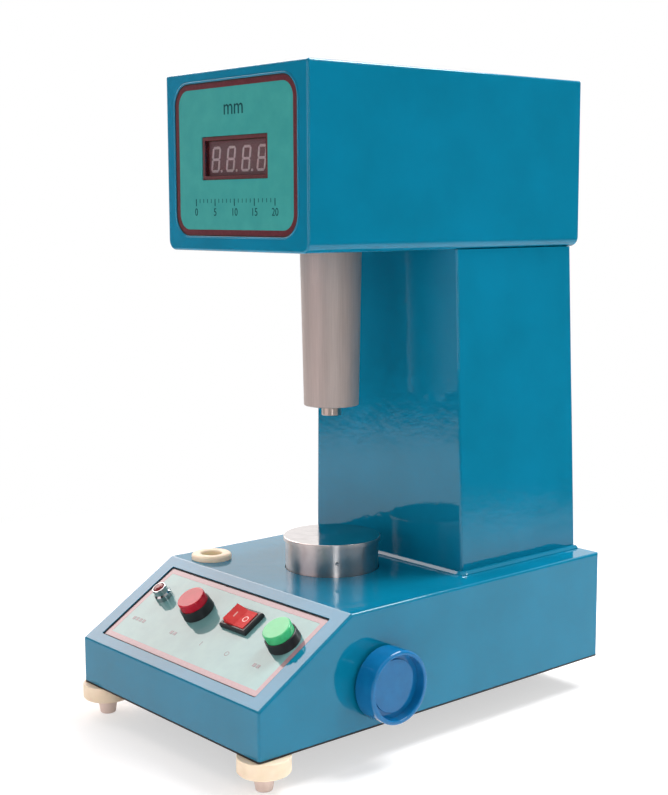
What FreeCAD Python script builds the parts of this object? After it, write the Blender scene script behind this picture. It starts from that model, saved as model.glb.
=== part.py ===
import FreeCAD, Part
import math
import os
from types import SimpleNamespace

import Sketcher

# A digital fall-cone tester for soil: a cast base with a sloping control panel, a tapered column,
# and a head whose barrel drops a cone rod onto a sample cup that stands on a rack-driven lift table.
# Frame: +X to the operator's right, +Y to the back, +Z up. The origin is the point of the bench
# that lies straight below the cone's axis.

SIZES = {
    # base casing
    "base_width": 170.0,
    "base_depth": 267.0,
    "base_height": 66.0,
    "axis_setback": 121.5,
    "lip_height": 27.0,
    "slope_run": 63.0,
    "base_wall": 4.0,
    "base_edge_radius": 1.5,
    "base_fold_radius": 1.5,
    "foot_height": 19.0,
    # bottom plate and its screws
    "plate_thickness": 2.0,
    "plate_inset": 1.0,
    "plate_gap": 0.5,
    "post_radius": 5.0,
    "post_height": 14.0,
    "post_edge": 5.0,
    "post_front": 58.0,
    "post_rear": 100.0,
    "plate_screw_radius": 2.0,
    "plate_screw_length": 9.0,
    "hatch_screw_length": 8.0,
    "screw_end_gap": 1.0,
    # levelling feet
    "foot_inset_x": 9.0,
    "foot_inset_y": 10.0,
    "rear_foot_inset": 12.0,
    "foot_boss_radius": 9.0,
    "foot_boss_height": 25.0,
    "foot_bore_depth": 22.0,
    "foot_thread_radius": 4.0,
    "foot_thread_engaged": 20.0,
    "wheel_radius": 14.35,
    "wheel_height": 9.0,
    "wheel_edge_radius": 0.5,
    "wheel_lead": 1.0,
    "stud_lead": 1.0,
    "tip_radius": 6.0,
    "tip_sole_radius": 4.5,
    "tip_edge_radius": 1.0,
    "tip_pivot_radius": 2.0,
    "tip_pivot_depth": 5.0,
    # control panel on the slope
    "panel_side_margin": 11.0,
    "panel_low": 7.0,
    "panel_high": 67.0,
    "panel_recess": 1.5,
    "panel_clear_height": 10.0,
    "panel_corner_radius": 1.0,
    "overlay_thickness": 0.6,
    "overlay_gap": 0.3,
    "lamp_inset": 17.0,
    "lamp_up": 45.5,
    "lamp_foot_radius": 5.3,
    "lamp_foot_height": 3.0,
    "lamp_radius": 4.4,
    "lamp_height": 7.6,
    "lamp_lead": 0.3,
    "lamp_thread_radius": 3.0,
    "lamp_thread_length": 16.0,
    "lamp_lens_radius": 3.7,
    "lamp_lens_sink": 4.0,
    "lamp_lens_rise": 0.8,
    "lamp_lens_lead": 0.4,
    "lamp_lens_crown": 2.2,
    "green_button_inset": 15.5,
    "middle_controls_shift": 2.0,
    "button_up": 44.4,
    "bezel_radius": 9.3,
    "bezel_height": 6.1,
    "bezel_flare": 0.4,
    "bezel_lead": 0.4,
    "bezel_thread_radius": 7.8,
    "bezel_depth": 18.0,
    "cap_radius": 8.4,
    "cap_height": 10.9,
    "cap_edge_radius": 0.8,
    "bezel_floor": 1.0,
    "button_travel": 3.0,
    "plunger_radius": 4.9,
    "plunger_depth": 15.0,
    "button_nut_width": 21.0,
    "button_nut_height": 4.0,
    "contact_width": 13.0,
    "contact_height": 15.0,
    "rocker_up": 47.5,
    "rocker_frame_length": 23.0,
    "rocker_frame_width": 16.0,
    "rocker_frame_height": 3.1,
    "rocker_wall": 1.5,
    "rocker_body_length": 20.6,
    "rocker_depth": 18.0,
    "rocker_well": 9.0,
    "rocker_gap": 0.35,
    "rocker_frame_lead": 0.8,
    "rocker_pin_pocket": 0.5,
    "rocker_pin_end_gap": 0.1,
    "rocker_end_gap": 0.9,
    "rocker_pivot_drop": 0.9,
    "rocker_saddle": 4.5,
    "rocker_skirt": 3.0,
    "rocker_tilt": 10.0,
    "rocker_pin_radius": 1.2,
    # bull's-eye level on the deck
    "level_inset": 21.6,
    "level_y": 43.1,
    "level_radius": 12.2,
    "level_rise": 3.5,
    "level_outer_round": 1.7,
    "level_inner_round": 1.5,
    "vial_round": 0.5,
    "level_shank_radius": 9.5,
    "level_depth": 11.0,
    "level_bore_radius": 6.2,
    "level_floor": 1.5,
    "vial_height": 8.5,
    # lift table and its rack
    "table_rise": 19.2,
    "table_flange_radius": 29.0,
    "table_edge_round": 0.5,
    "table_flange_height": 2.4,
    "table_skirt_radius": 27.75,
    "table_skirt_wall": 2.5,
    "table_skirt_depth": 31.8,
    "table_top_thickness": 4.6,
    "table_hole_gap": 0.5,
    "table_boss_radius": 12.0,
    "stem_radius": 10.0,
    "stem_foot_gap": 4.0,
    "stem_lead": 1.0,
    "stem_drop": 12.0,
    "stem_spigot_radius": 5.0,
    "stem_spigot_length": 10.0,
    "carrier_thickness": 4.0,
    "carrier_lug_width": 14.0,
    "gear_module": 1.0,
    "gear_teeth": 18,
    "gear_width": 10.0,
    "pressure_angle": 20.0,
    "gear_backlash": 0.16,
    "gear_tip_gap": 0.25,
    "rack_width": 8.0,
    "rack_depth": 5.2,
    "rack_floor_gap": 8.5,
    "lift_down": 8.0,
    "guide_radius": 15.0,
    "guide_height": 34.0,
    "guide_flange_width": 52.0,
    "guide_flange_front": 18.0,
    "guide_screw_inset": 5.0,
    "guide_corner_radius": 3.0,
    "guide_flange_rear": 24.0,
    "guide_flange_height": 4.0,
    # knob and its shaft
    "knob_y": 38.5,
    "knob_z": 25.0,
    "knob_radius": 20.3,
    "knob_thickness": 14.0,
    "knob_wall_gap": 2.0,
    "bush_reach": 0.5,
    "knob_edge_radius": 1.5,
    "knob_small_radius": 0.75,
    "knob_cap_round": 0.3,
    "knob_rim_radius": 17.7,
    "knob_recess": 5.6,
    "knob_cap_radius": 14.7,
    "knob_cap_thickness": 0.8,
    "knob_cap_spigot": 5.0,
    "shaft_radius": 4.0,
    "shaft_bore_depth": 7.0,
    "bearing_gap": 4.0,
    "shaft_bearing_reach": 5.0,
    "bearing_length": 11.0,
    "bearing_width": 20.0,
    "bearing_top": 10.0,
    "bush_radius": 7.0,
    "bush_flange_radius": 9.5,
    "bush_flange_thickness": 2.5,
    # column
    "column_bottom_width": 132.0,
    "column_top_width": 123.4,
    "column_front_bottom": 43.5,
    "column_front_top": 42.0,
    "column_depth_bottom": 101.6,
    "column_depth_top": 99.0,
    "column_wall": 3.0,
    "column_floor": 8.0,
    "column_edge_radius": 1.5,
    "bead_width": 3.5,
    "bead_height": 1.8,
    "bead_lead": 1.44,
    "bead_rear_gap": 1.0,
    "duct_width": 60.0,
    "duct_front": 66.0,
    "duct_rear": 112.0,
    "column_bolt_x": 46.0,
    "column_bolt_front": 57.0,
    "column_bolt_inset": 21.5,
    # head housing
    "head_width": 128.8,
    "head_depth": 215.0,
    "head_height": 99.5,
    "head_clear": 189.0,
    "head_wall": 2.0,
    "head_front_wall": 3.0,
    "head_bottom_radius": 6.0,
    "head_edge_radius": 1.5,
    "display_width": 112.0,
    "display_low": 7.7,
    "display_high": 93.8,
    "display_recess": 1.0,
    "display_corner_radius": 13.0,
    "display_overlay_thickness": 0.8,
    "window_width": 60.0,
    "window_low": 39.4,
    "window_high": 63.3,
    "window_sink": 0.6,
    "window_thickness": 2.0,
    "module_width": 56.0,
    "module_height": 19.0,
    "module_depth": 8.0,
    "module_sink": 4.0,
    "board_thickness": 1.6,
    "display_board_width": 80.0,
    "display_board_height": 36.0,
    "standoff_radius": 3.0,
    "standoff_inset": 4.0,
    "hatch_width": 96.0,
    "hatch_height": 70.0,
    "hatch_lap": 8.0,
    "hatch_corner_radius": 4.0,
    "hatch_thickness": 1.2,
    # barrel with the holding magnet and the displacement sensor
    "barrel_top_radius": 18.05,
    "barrel_bottom_radius": 16.2,
    "barrel_lip_round": 0.6,
    "barrel_length": 91.4,
    "barrel_floor": 8.0,
    "barrel_bore_radius": 13.4,
    "barrel_seat_radius": 14.6,
    "barrel_seat_drop": 24.0,
    "barrel_flange_radius": 28.0,
    "barrel_flange_height": 4.0,
    "barrel_hole_gap": 0.25,
    "flange_screw_circle": 23.0,
    "rod_radius": 4.0,
    "rod_fall": 22.0,
    "chuck_radius": 5.8,
    "chuck_round": 0.5,
    "chuck_length": 5.7,
    "cone_thread_radius": 2.5,
    "cone_thread_depth": 10.0,
    "needle_radius": 2.0,
    "needle_length": 70.0,
    "rod_bush_radius": 7.0,
    "rod_bush_flange_radius": 9.5,
    "rod_bush_flange_height": 4.0,
    "buffer_height": 3.0,
    "buffer_radius": 8.0,
    "armature_radius": 10.0,
    "armature_height": 5.0,
    "pole_radius": 5.0,
    "magnet_flange_height": 4.0,
    "coil_radius": 12.9,
    "coil_rise": 1.0,
    "sensor_radius": 12.0,
    "sensor_bore_radius": 2.6,
    "sensor_length": 58.0,
    "sensor_flange_height": 3.0,
    # parts inside the base and on its rear wall
    "transformer_wall_gap": 22.0,
    "transformer_y": 74.0,
    "transformer_width": 50.0,
    "transformer_stack": 22.0,
    "transformer_height": 42.0,
    "transformer_leg": 16.0,
    "transformer_yoke": 8.5,
    "transformer_coil_bulge": 9.0,
    "board_wall_gap": 12.0,
    "power_board_y": 72.0,
    "board_middle_gap": 3.0,
    "power_board_depth": 56.0,
    "inlet_inset": 41.0,
    "inlet_flange_width": 50.0,
    "inlet_flange_height": 24.0,
    "inlet_flange_thickness": 2.5,
    "inlet_body_width": 28.0,
    "inlet_body_height": 20.0,
    "inlet_body_depth": 22.0,
    "inlet_well_width": 24.6,
    "inlet_well_height": 16.6,
    "inlet_well_chamfer": 2.767,
    "inlet_well_depth": 17.0,
    "inlet_pin_width": 4.0,
    "inlet_pin_thickness": 2.0,
    "inlet_pin_reach": 10.5,
    "inlet_pin_pitch": 7.0,
    "inlet_earth_drop": 4.0,
    "fuse_inset": 41.0,
    "fuse_cap_radius": 8.0,
    "fuse_cap_round": 1.0,
    "fuse_slot_length": 11.2,
    "fuse_slot_width": 1.6,
    "fuse_slot_depth": 1.5,
    "fuse_cap_length": 7.0,
    "fuse_body_radius": 6.0,
    "fuse_body_length": 28.0,
    # fasteners
    "small_head_radius": 3.6,
    "small_head_height": 1.8,
    "cap_screw_radius": 2.0,
    "cap_head_radius": 3.5,
    "cap_head_height": 4.0,
    "bolt_radius": 3.0,
    "bolt_head_radius": 5.0,
    "bolt_head_height": 4.0,
    "bolt_reach": 6.0,
    # clearances
    "running_gap": 0.05,
    "press_gap": 0.02,
    "seat_gap": 0.3,
    "hole_gap": 0.2,
    "overcut": 1.0,
}


class Size:
    """A size with its number and the spreadsheet formula that gives it."""

    def __init__(self, value, formula):
        self.value = float(value)
        self.formula = formula

    def __add__(self, other):
        other = as_size(other)
        return Size(self.value + other.value, f"({self.formula} + {other.formula})")

    def __radd__(self, other):
        return as_size(other) + self

    def __sub__(self, other):
        other = as_size(other)
        return Size(self.value - other.value, f"({self.formula} - {other.formula})")

    def __rsub__(self, other):
        return as_size(other) - self

    def __mul__(self, other):
        other = as_size(other)
        return Size(self.value * other.value, f"({self.formula} * {other.formula})")

    def __rmul__(self, other):
        return as_size(other) * self

    def __truediv__(self, other):
        other = as_size(other)
        return Size(self.value / other.value, f"({self.formula} / {other.formula})")

    def __neg__(self):
        return Size(-self.value, f"(0 - {self.formula})")


def as_size(number):
    if isinstance(number, Size):
        return number
    return Size(number, repr(float(number)))


def root(size):
    return Size(math.sqrt(size.value), f"sqrt({size.formula})")


def sine(degrees):
    return Size(math.sin(math.radians(degrees.value)), f"sin({degrees.formula} * 1deg)")


def cosine(degrees):
    return Size(math.cos(math.radians(degrees.value)), f"cos({degrees.formula} * 1deg)")


doc = FreeCAD.newDocument("fall_cone_tester")
sheet = doc.addObject("Spreadsheet::Sheet", "Sizes")
for row, (alias, value) in enumerate(SIZES.items(), start=1):
    sheet.set(f"A{row}", alias)
    sheet.set(f"B{row}", str(value))
    sheet.setAlias(f"B{row}", alias)
doc.recompute()
s = SimpleNamespace(**{alias: Size(sheet.get(alias), f"Sizes.{alias}") for alias in SIZES})

parts = {}


# ---------------------------------------------------------------- building blocks


def keep(item, label):
    """Names a finished sub-part, which is written out under that name."""
    item.Label = label
    parts[label] = item
    return item


def bind(item, prop, size):
    item.setExpression(prop, as_size(size).formula)


def vector(x, y, z):
    x, y, z = as_size(x), as_size(y), as_size(z)
    return f"vector({x.formula}; {y.formula}; {z.formula})"


def place(item, x, y, z, axis=(0, 0, 1), degrees=0):
    turn = f"rotation({vector(*axis)}; {as_size(degrees).formula})"
    item.setExpression("Placement", f"placement({vector(x, y, z)}; {turn})")


def new_body(name):
    return doc.addObject("PartDesign::Body", name)


TOLERANCE = 0.001
PLANES = {"x": "YZ_Plane", "y": "XZ_Plane", "z": "XY_Plane"}


def sketch_at(body, axis, offset):
    """A sketch square to the axis; the XZ plane's normal points to -Y, so its offset is turned."""
    plane = next(f for f in body.Origin.OriginFeatures if f.Role == PLANES[axis])
    sketch = body.newObject("Sketcher::SketchObject", f"{body.Name}_sketch")
    sketch.AttachmentSupport = (plane, [""])
    sketch.MapMode = "FlatFace"
    shift = -as_size(offset) if axis == "y" else as_size(offset)
    turn = f"rotation({vector(0, 0, 1)}; 0)"
    sketch.setExpression("AttachmentOffset", f"placement({vector(0, 0, shift)}; {turn})")
    return sketch


def pin_point(sketch, geometry, point, x, y):
    """Holds a sketch point at x, y by driving constraints bound to the sheet."""
    for kind, size in (("DistanceX", as_size(x)), ("DistanceY", as_size(y))):
        index = sketch.addConstraint(Sketcher.Constraint(kind, -1, 1, geometry, point, size.value))
        sketch.setExpression(f"Constraints[{index}]", size.formula)


def outline(points):
    """A closed polygon through the points."""

    def draw(sketch):
        corners = [(as_size(x), as_size(y)) for x, y in points]
        first = sketch.GeometryCount
        for i, (x, y) in enumerate(corners):
            nx, ny = corners[(i + 1) % len(corners)]
            start = FreeCAD.Vector(x.value, y.value, 0)
            end = FreeCAD.Vector(nx.value, ny.value, 0)
            sketch.addGeometry(Part.LineSegment(start, end), False)
        for i, (x, y) in enumerate(corners):
            following = first + (i + 1) % len(corners)
            sketch.addConstraint(Sketcher.Constraint("Coincident", first + i, 2, following, 1))
        for i, (x, y) in enumerate(corners):
            pin_point(sketch, first + i, 1, x, y)

    return draw


def rectangle(x0, x1, y0, y1):
    return outline([(x0, y0), (x1, y0), (x1, y1), (x0, y1)])


def rounded_rectangle(x0, x1, y0, y1, radius):
    """A rectangle whose corners are arcs, for sections that a loft joins."""

    def draw(sketch):
        left, right, low, high = (as_size(size) for size in (x0, x1, y0, y1))
        corners = [
            ((right, low), (0, 1), (1, 0)),
            ((right, high), (-1, 0), (0, 1)),
            ((left, high), (0, -1), (-1, 0)),
            ((left, low), (1, 0), (0, -1)),
        ]
        ends = []
        for (x, y), (leave_x, leave_y), (come_x, come_y) in corners:
            came = (x - come_x * radius, y - come_y * radius)
            left_at = (x + leave_x * radius, y + leave_y * radius)
            ends.append((came, left_at))
        for i, (came, left_at) in enumerate(ends):
            x, y = corners[i][0]
            toward_x = 1 if x is left else -1
            toward_y = 1 if y is low else -1
            centre = FreeCAD.Vector(x.value + toward_x * radius.value, y.value + toward_y * radius.value, 0)
            start = FreeCAD.Vector(came[0].value, came[1].value, 0)
            end = FreeCAD.Vector(left_at[0].value, left_at[1].value, 0)
            away = FreeCAD.Vector(x.value, y.value, 0) - centre
            crown = centre + away.normalize() * radius.value
            arc = sketch.addGeometry(Part.Arc(start, crown, end), False)
            following = ends[(i + 1) % 4][0]
            next_start = FreeCAD.Vector(following[0].value, following[1].value, 0)
            sketch.addGeometry(Part.LineSegment(end, next_start), False)
            rule = sketch.addConstraint(Sketcher.Constraint("Radius", arc, radius.value))
            sketch.setExpression(f"Constraints[{rule}]", radius.formula)
        for i, (came, left_at) in enumerate(ends):
            arc, line, next_arc = 2 * i, 2 * i + 1, (2 * i + 2) % 8
            sketch.addConstraint(Sketcher.Constraint("Coincident", arc, 2, line, 1))
            sketch.addConstraint(Sketcher.Constraint("Coincident", line, 2, next_arc, 1))
            pin_point(sketch, line, 1, *left_at)
            pin_point(sketch, arc, 1, *came)

    return draw


def circle(x, y, radius):
    """A circle about the point x, y."""

    def draw(sketch):
        centre = FreeCAD.Vector(as_size(x).value, as_size(y).value, 0)
        round_ = Part.Circle(centre, FreeCAD.Vector(0, 0, 1), as_size(radius).value)
        index = sketch.addGeometry(round_, False)
        pin_point(sketch, index, 3, x, y)
        rule = sketch.addConstraint(Sketcher.Constraint("Radius", index, as_size(radius).value))
        sketch.setExpression(f"Constraints[{rule}]", as_size(radius).formula)

    return draw


def sweep_feature(kind, body, axis, low, high, shapes):
    """Pads or pockets the shapes from low to high along the axis."""
    start = high if axis == "y" else low
    sketch = sketch_at(body, axis, start)
    for draw in shapes:
        draw(sketch)
    feature = body.newObject(f"PartDesign::{kind}", f"{body.Name}_{kind.lower()}")
    feature.Profile = sketch
    bind(feature, "Length", as_size(high) - as_size(low))
    feature.Reversed = kind == "Pocket"
    return feature


def add(body, axis, low, high, *shapes):
    return sweep_feature("Pad", body, axis, low, high, shapes)


def cut(body, axis, low, high, *shapes):
    doc.recompute()
    before = body.Shape.Volume
    feature = sweep_feature("Pocket", body, axis, low, high, shapes)
    doc.recompute()
    if not body.Shape.Volume < before - TOLERANCE:
        raise RuntimeError(f"{feature.Name} cuts nothing")
    return feature


def turn_profile(body, points):
    """Revolves a closed profile of radius and height about the body's Z axis."""
    sketch = sketch_at(body, "y", 0)
    outline(points)(sketch)
    feature = body.newObject("PartDesign::Revolution", f"{body.Name}_revolution")
    feature.Profile = sketch
    feature.ReferenceAxis = (sketch, ["V_Axis"])
    feature.Angle = 360
    return feature


def round_edges(body, radius, chosen, kind="Fillet"):
    """Fillets or chamfers the edges that the test chooses on the body's last feature."""
    doc.recompute()
    base = body.Tip
    names = [f"Edge{i}" for i, edge in enumerate(base.Shape.Edges, start=1) if chosen(edge)]
    if not names:
        raise RuntimeError(f"{body.Name} has no such edge")
    feature = body.newObject(f"PartDesign::{kind}", f"{body.Name}_{kind.lower()}")
    feature.Base = (base, names)
    bind(feature, "Radius" if kind == "Fillet" else "Size", radius)
    return feature


def near(a, b):
    return abs(a - as_size(b).value) < TOLERANCE


def lies_at(edge, height):
    return near(edge.BoundBox.ZMin, height) and near(edge.BoundBox.ZMax, height)


def runs_along(edge, axis):
    """Whether a straight edge lies along that axis: its box has no other extent."""
    extents = {"x": edge.BoundBox.XLength, "y": edge.BoundBox.YLength, "z": edge.BoundBox.ZLength}
    length = extents.pop(axis)
    return length > TOLERANCE > max(extents.values())


def middle(edge):
    return edge.BoundBox.Center


def on_ring(radius, height):
    """Chooses the full circle of a turned piece at that radius and height."""

    def test(edge):
        span = edge.BoundBox
        is_flat = near(span.ZMin, height) and near(span.ZMax, height)
        return is_flat and near(span.XMax, radius) and near(span.XMin, -as_size(radius))

    return test


def primitive(kind, **sizes):
    item = doc.addObject(f"Part::{kind}", kind.lower())
    for prop, size in sizes.items():
        bind(item, prop, size)
    return item


def boolean(kind, base, tool):
    item = doc.addObject(f"Part::{kind}", kind.lower())
    item.Base = base
    item.Tool = tool
    return item


def box(x0, x1, y0, y1, z0, z1):
    item = primitive("Box", Length=as_size(x1) - x0, Width=as_size(y1) - y0, Height=as_size(z1) - z0)
    place(item, x0, y0, z0)
    return item


def cylinder(x, y, z0, z1, radius):
    item = primitive("Cylinder", Radius=radius, Height=as_size(z1) - z0)
    place(item, x, y, z0)
    return item


def group(label, members):
    item = doc.addObject("Part::Compound", label)
    item.Links = members
    return keep(item, label)


def screw(seat, head_radius, head_height, shank_radius, length, turn=((0, 0, 1), 0)):
    """A screw whose head stands on its seat, with a hex socket; the turn sets where it points."""
    head = primitive("Cylinder", Radius=head_radius, Height=head_height)
    shank = primitive("Cylinder", Radius=shank_radius, Height=length)
    place(shank, 0, 0, -as_size(length))
    socket = primitive("Prism", Circumradius=head_radius / 2, Height=head_height)
    socket.Polygon = 6
    place(socket, 0, 0, as_size(head_height) / 2)
    item = boolean("Cut", boolean("Fuse", head, shank), socket)
    place(item, *seat, axis=turn[0], degrees=turn[1])
    return item


UPWARD = ((0, 0, 1), 0)
DOWNWARD = ((1, 0, 0), 180)
BACKWARD = ((1, 0, 0), -90)

# ---------------------------------------------------------------- levels and places

base_bottom = s.foot_height
deck = base_bottom + s.base_height
base_front = -s.axis_setback
base_rear = base_front + s.base_depth
base_half = s.base_width / 2
inner_half = base_half - s.base_wall
plate_bottom = base_bottom + s.plate_inset
plate_top = plate_bottom + s.plate_thickness
deck_underside = deck - s.base_wall
slope_rise = s.base_height - s.lip_height
slope_length = root(s.slope_run * s.slope_run + slope_rise * slope_rise)
slope_tan = slope_rise / s.slope_run
slope_cos = s.slope_run / slope_length
slope_degrees = Size(
    math.degrees(math.atan2(slope_rise.value, s.slope_run.value)),
    f"(atan({slope_tan.formula}) / 1deg)",
)
overlay_top = s.overlay_thickness - s.panel_recess
cap_well_floor = overlay_top + s.bezel_floor
panel_half = base_half - s.panel_side_margin

table_top_z = deck + s.table_rise
carrier_top = table_top_z - s.table_flange_height - s.table_skirt_depth
carrier_bottom = carrier_top - s.carrier_thickness
knob_height = base_bottom + s.knob_z
pitch_radius = s.gear_module * s.gear_teeth / 2
rack_line = -s.knob_y + pitch_radius
rack_bottom = plate_top + s.rack_floor_gap

head_bottom = deck + s.head_clear
head_top = head_bottom + s.head_height
head_half = s.head_width / 2
head_rear = base_rear
head_front = head_rear - s.head_depth
head_floor = head_bottom + s.head_wall
window_middle = head_bottom + (s.window_low + s.window_high) / 2

barrel_bottom = head_bottom - s.barrel_length
barrel_flange_top = head_floor + s.barrel_flange_height
barrel_inner_floor = barrel_bottom + s.barrel_floor
bush_top = barrel_inner_floor + s.rod_bush_flange_height
buffer_top = bush_top + s.buffer_height
armature_bottom = buffer_top + s.rod_fall + s.seat_gap
armature_top = armature_bottom + s.armature_height
pole_bottom = armature_top + s.seat_gap
magnet_seat = head_bottom - s.barrel_seat_drop
magnet_top = magnet_seat + s.magnet_flange_height

column_rear_bottom = s.column_front_bottom + s.column_depth_bottom
column_rear_top = s.column_front_top + s.column_depth_top

feet = {
    "front_left": (s.foot_inset_x - base_half, base_front + s.foot_inset_y),
    "front_right": (base_half - s.foot_inset_x, base_front + s.foot_inset_y),
    "rear": (as_size(0), base_rear - s.rear_foot_inset),
}
post_x = inner_half - s.post_edge
plate_posts = [(side * post_x, y) for side in (-1, 1) for y in (-s.post_front, s.post_rear)]
column_bolts = [
    (side * s.column_bolt_x, y)
    for side in (-1, 1)
    for y in (s.column_bolt_front, base_rear - s.column_bolt_inset)
]
lamp_x = panel_half - s.lamp_inset
green_button_x = panel_half - s.green_button_inset
control_pitch = (lamp_x + green_button_x) / 3
rocker_x = green_button_x - control_pitch - s.middle_controls_shift
buttons = {"red": rocker_x - control_pitch, "green": green_button_x}
level_x = base_half - s.level_inset
transformer_x = s.transformer_width / 2 + s.transformer_wall_gap - inner_half
power_board_width = inner_half - s.board_wall_gap - s.board_middle_gap
power_board_x = s.board_middle_gap + power_board_width / 2
inlet_x = base_half - s.inlet_inset
fuse_x = base_half - s.fuse_inset


def on_panel(item):
    """Stands a piece that is drawn flat on the slope: its X across, Y up the slope, Z outwards."""
    place(item, 0, base_front, base_bottom + s.lip_height, axis=(1, 0, 0), degrees=slope_degrees)


# ---------------------------------------------------------------- base


def make_base_casing():
    """A cast shell, open below, with a sunk panel on the slope and bosses for feet and screws."""
    block = new_body("base_block")
    profile = [
        (base_front, base_bottom),
        (base_rear, base_bottom),
        (base_rear, deck),
        (base_front + s.slope_run, deck),
        (base_front, base_bottom + s.lip_height),
    ]
    add(block, "x", -base_half, base_half, outline(profile))

    def is_upright(edge):
        return runs_along(edge, "z")

    def is_on_side(edge):
        on_side = near(abs(middle(edge).x), base_half)
        return on_side and middle(edge).z > (base_bottom + s.lip_height / 2).value

    round_edges(block, s.base_edge_radius, lambda e: is_upright(e) or is_on_side(e))

    def is_fold(edge):
        at_lip = near(middle(edge).z, base_bottom + s.lip_height)
        at_fold = near(middle(edge).y, base_front + s.slope_run)
        return runs_along(edge, "x") and (at_lip or at_fold)

    round_edges(block, s.base_fold_radius, is_fold)
    cut(block, "z", deck_underside - s.overcut, deck + s.overcut,
        circle(0, 0, s.table_skirt_radius + s.table_hole_gap),
        circle(-level_x, -s.level_y, s.level_shank_radius + s.hole_gap),
        rectangle(-s.duct_width / 2, s.duct_width / 2, s.duct_front, s.duct_rear),
        *[circle(x, y, s.bolt_radius + s.hole_gap) for x, y in column_bolts])
    cut(block, "z", base_bottom, base_bottom + s.foot_bore_depth,
        *[circle(x, y, s.foot_thread_radius + s.running_gap) for x, y in feet.values()])
    cut(block, "z", base_bottom, plate_top + s.plate_screw_length + s.screw_end_gap,
        *[circle(x, y, s.plate_screw_radius + s.press_gap) for x, y in plate_posts])
    cut(block, "x", inner_half - s.overcut, base_half + s.overcut,
        circle(-s.knob_y, knob_height, s.bush_radius + s.press_gap))
    cut_rear_wall(block)

    cavity = new_body("base_cavity")
    wall = s.base_wall
    slope_drop = wall / slope_cos
    inner_fold = base_front + (slope_rise - wall + slope_drop) / slope_tan
    low_corner = base_bottom + s.lip_height + wall * slope_tan - slope_drop
    inner_profile = [
        (base_front + wall, base_bottom - s.overcut),
        (base_rear - wall, base_bottom - s.overcut),
        (base_rear - wall, deck_underside),
        (inner_fold, deck_underside),
        (base_front + wall, low_corner),
    ]
    add(cavity, "x", -inner_half, inner_half, outline(inner_profile))
    boss_top = base_bottom + s.foot_boss_height
    cut(cavity, "z", base_bottom - 2 * s.overcut, boss_top,
        *[circle(x, y, s.foot_boss_radius) for x, y in feet.values()])
    cut(cavity, "z", plate_top, plate_top + s.post_height,
        *[rectangle(*post_footprint(x, y)) for x, y in plate_posts])

    shell = boolean("Cut", block, cavity)
    recess = new_body("panel_tools")
    add(recess, "z", -s.panel_recess, s.panel_clear_height,
        rectangle(-panel_half, panel_half, s.panel_low, s.panel_high))
    round_edges(recess, s.panel_corner_radius, lambda e: runs_along(e, "z"))
    add(recess, "z", -s.base_wall - 2 * s.overcut, 0,
        circle(-lamp_x, s.lamp_up, s.lamp_thread_radius + s.hole_gap))
    for x in buttons.values():
        add(recess, "z", -s.base_wall - 2 * s.overcut, 0,
            circle(x, s.button_up, s.bezel_thread_radius + s.hole_gap))
    add(recess, "z", -s.base_wall - 2 * s.overcut, 0, rectangle(*rocker_footprint(s.hole_gap)))
    on_panel(recess)
    return keep(boolean("Cut", shell, recess), "base_casing")


def post_footprint(x, y):
    """A screw post's rectangle, which runs from the side wall inwards."""
    side = 1 if x.value > 0 else -1
    outer = side * (inner_half + s.overcut)
    inner = x - side * s.post_radius
    low, high = (inner, outer) if side > 0 else (outer, inner)
    return low, high, y - s.post_radius, y + s.post_radius


def rocker_footprint(gap):
    half_length = s.rocker_body_length / 2 + gap
    half_width = s.rocker_frame_width / 2 - s.rocker_wall / 2 + gap
    return (
        rocker_x - half_length,
        rocker_x + half_length,
        s.rocker_up - half_width,
        s.rocker_up + half_width,
    )


rear_height = base_bottom + s.base_height / 2


def cut_rear_wall(block):
    """Openings for the mains inlet and the fuse holder."""
    half_width = s.inlet_body_width / 2 + s.hole_gap
    half_height = s.inlet_body_height / 2 + s.hole_gap
    cut(block, "y", base_rear - s.base_wall - s.overcut, base_rear + s.overcut,
        rectangle(inlet_x - half_width, inlet_x + half_width,
                  rear_height - half_height, rear_height + half_height),
        circle(-fuse_x, rear_height, s.fuse_body_radius + s.hole_gap))


def make_bottom_plate():
    """A sheet that closes the base from below, notched round the feet's bosses."""
    plate = new_body("bottom_plate")
    half = inner_half - s.plate_gap
    front = base_front + s.base_wall + s.plate_gap
    rear = base_rear - s.base_wall - s.plate_gap
    add(plate, "z", plate_bottom, plate_top, rectangle(-half, half, front, rear))
    for x, y in feet.values():
        cut(plate, "z", plate_bottom - s.overcut, plate_top + s.overcut,
            circle(x, y, s.foot_boss_radius + s.plate_gap))
    cut(plate, "z", plate_bottom - s.overcut, plate_top + s.overcut,
        *[circle(x, y, s.plate_screw_radius + s.hole_gap) for x, y in plate_posts])
    cut(plate, "z", plate_bottom - s.overcut, plate_top + s.overcut,
        *[circle(x, y, s.cap_screw_radius + s.hole_gap) for x, y in guide_screws])
    keep(plate, "bottom_plate")


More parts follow.
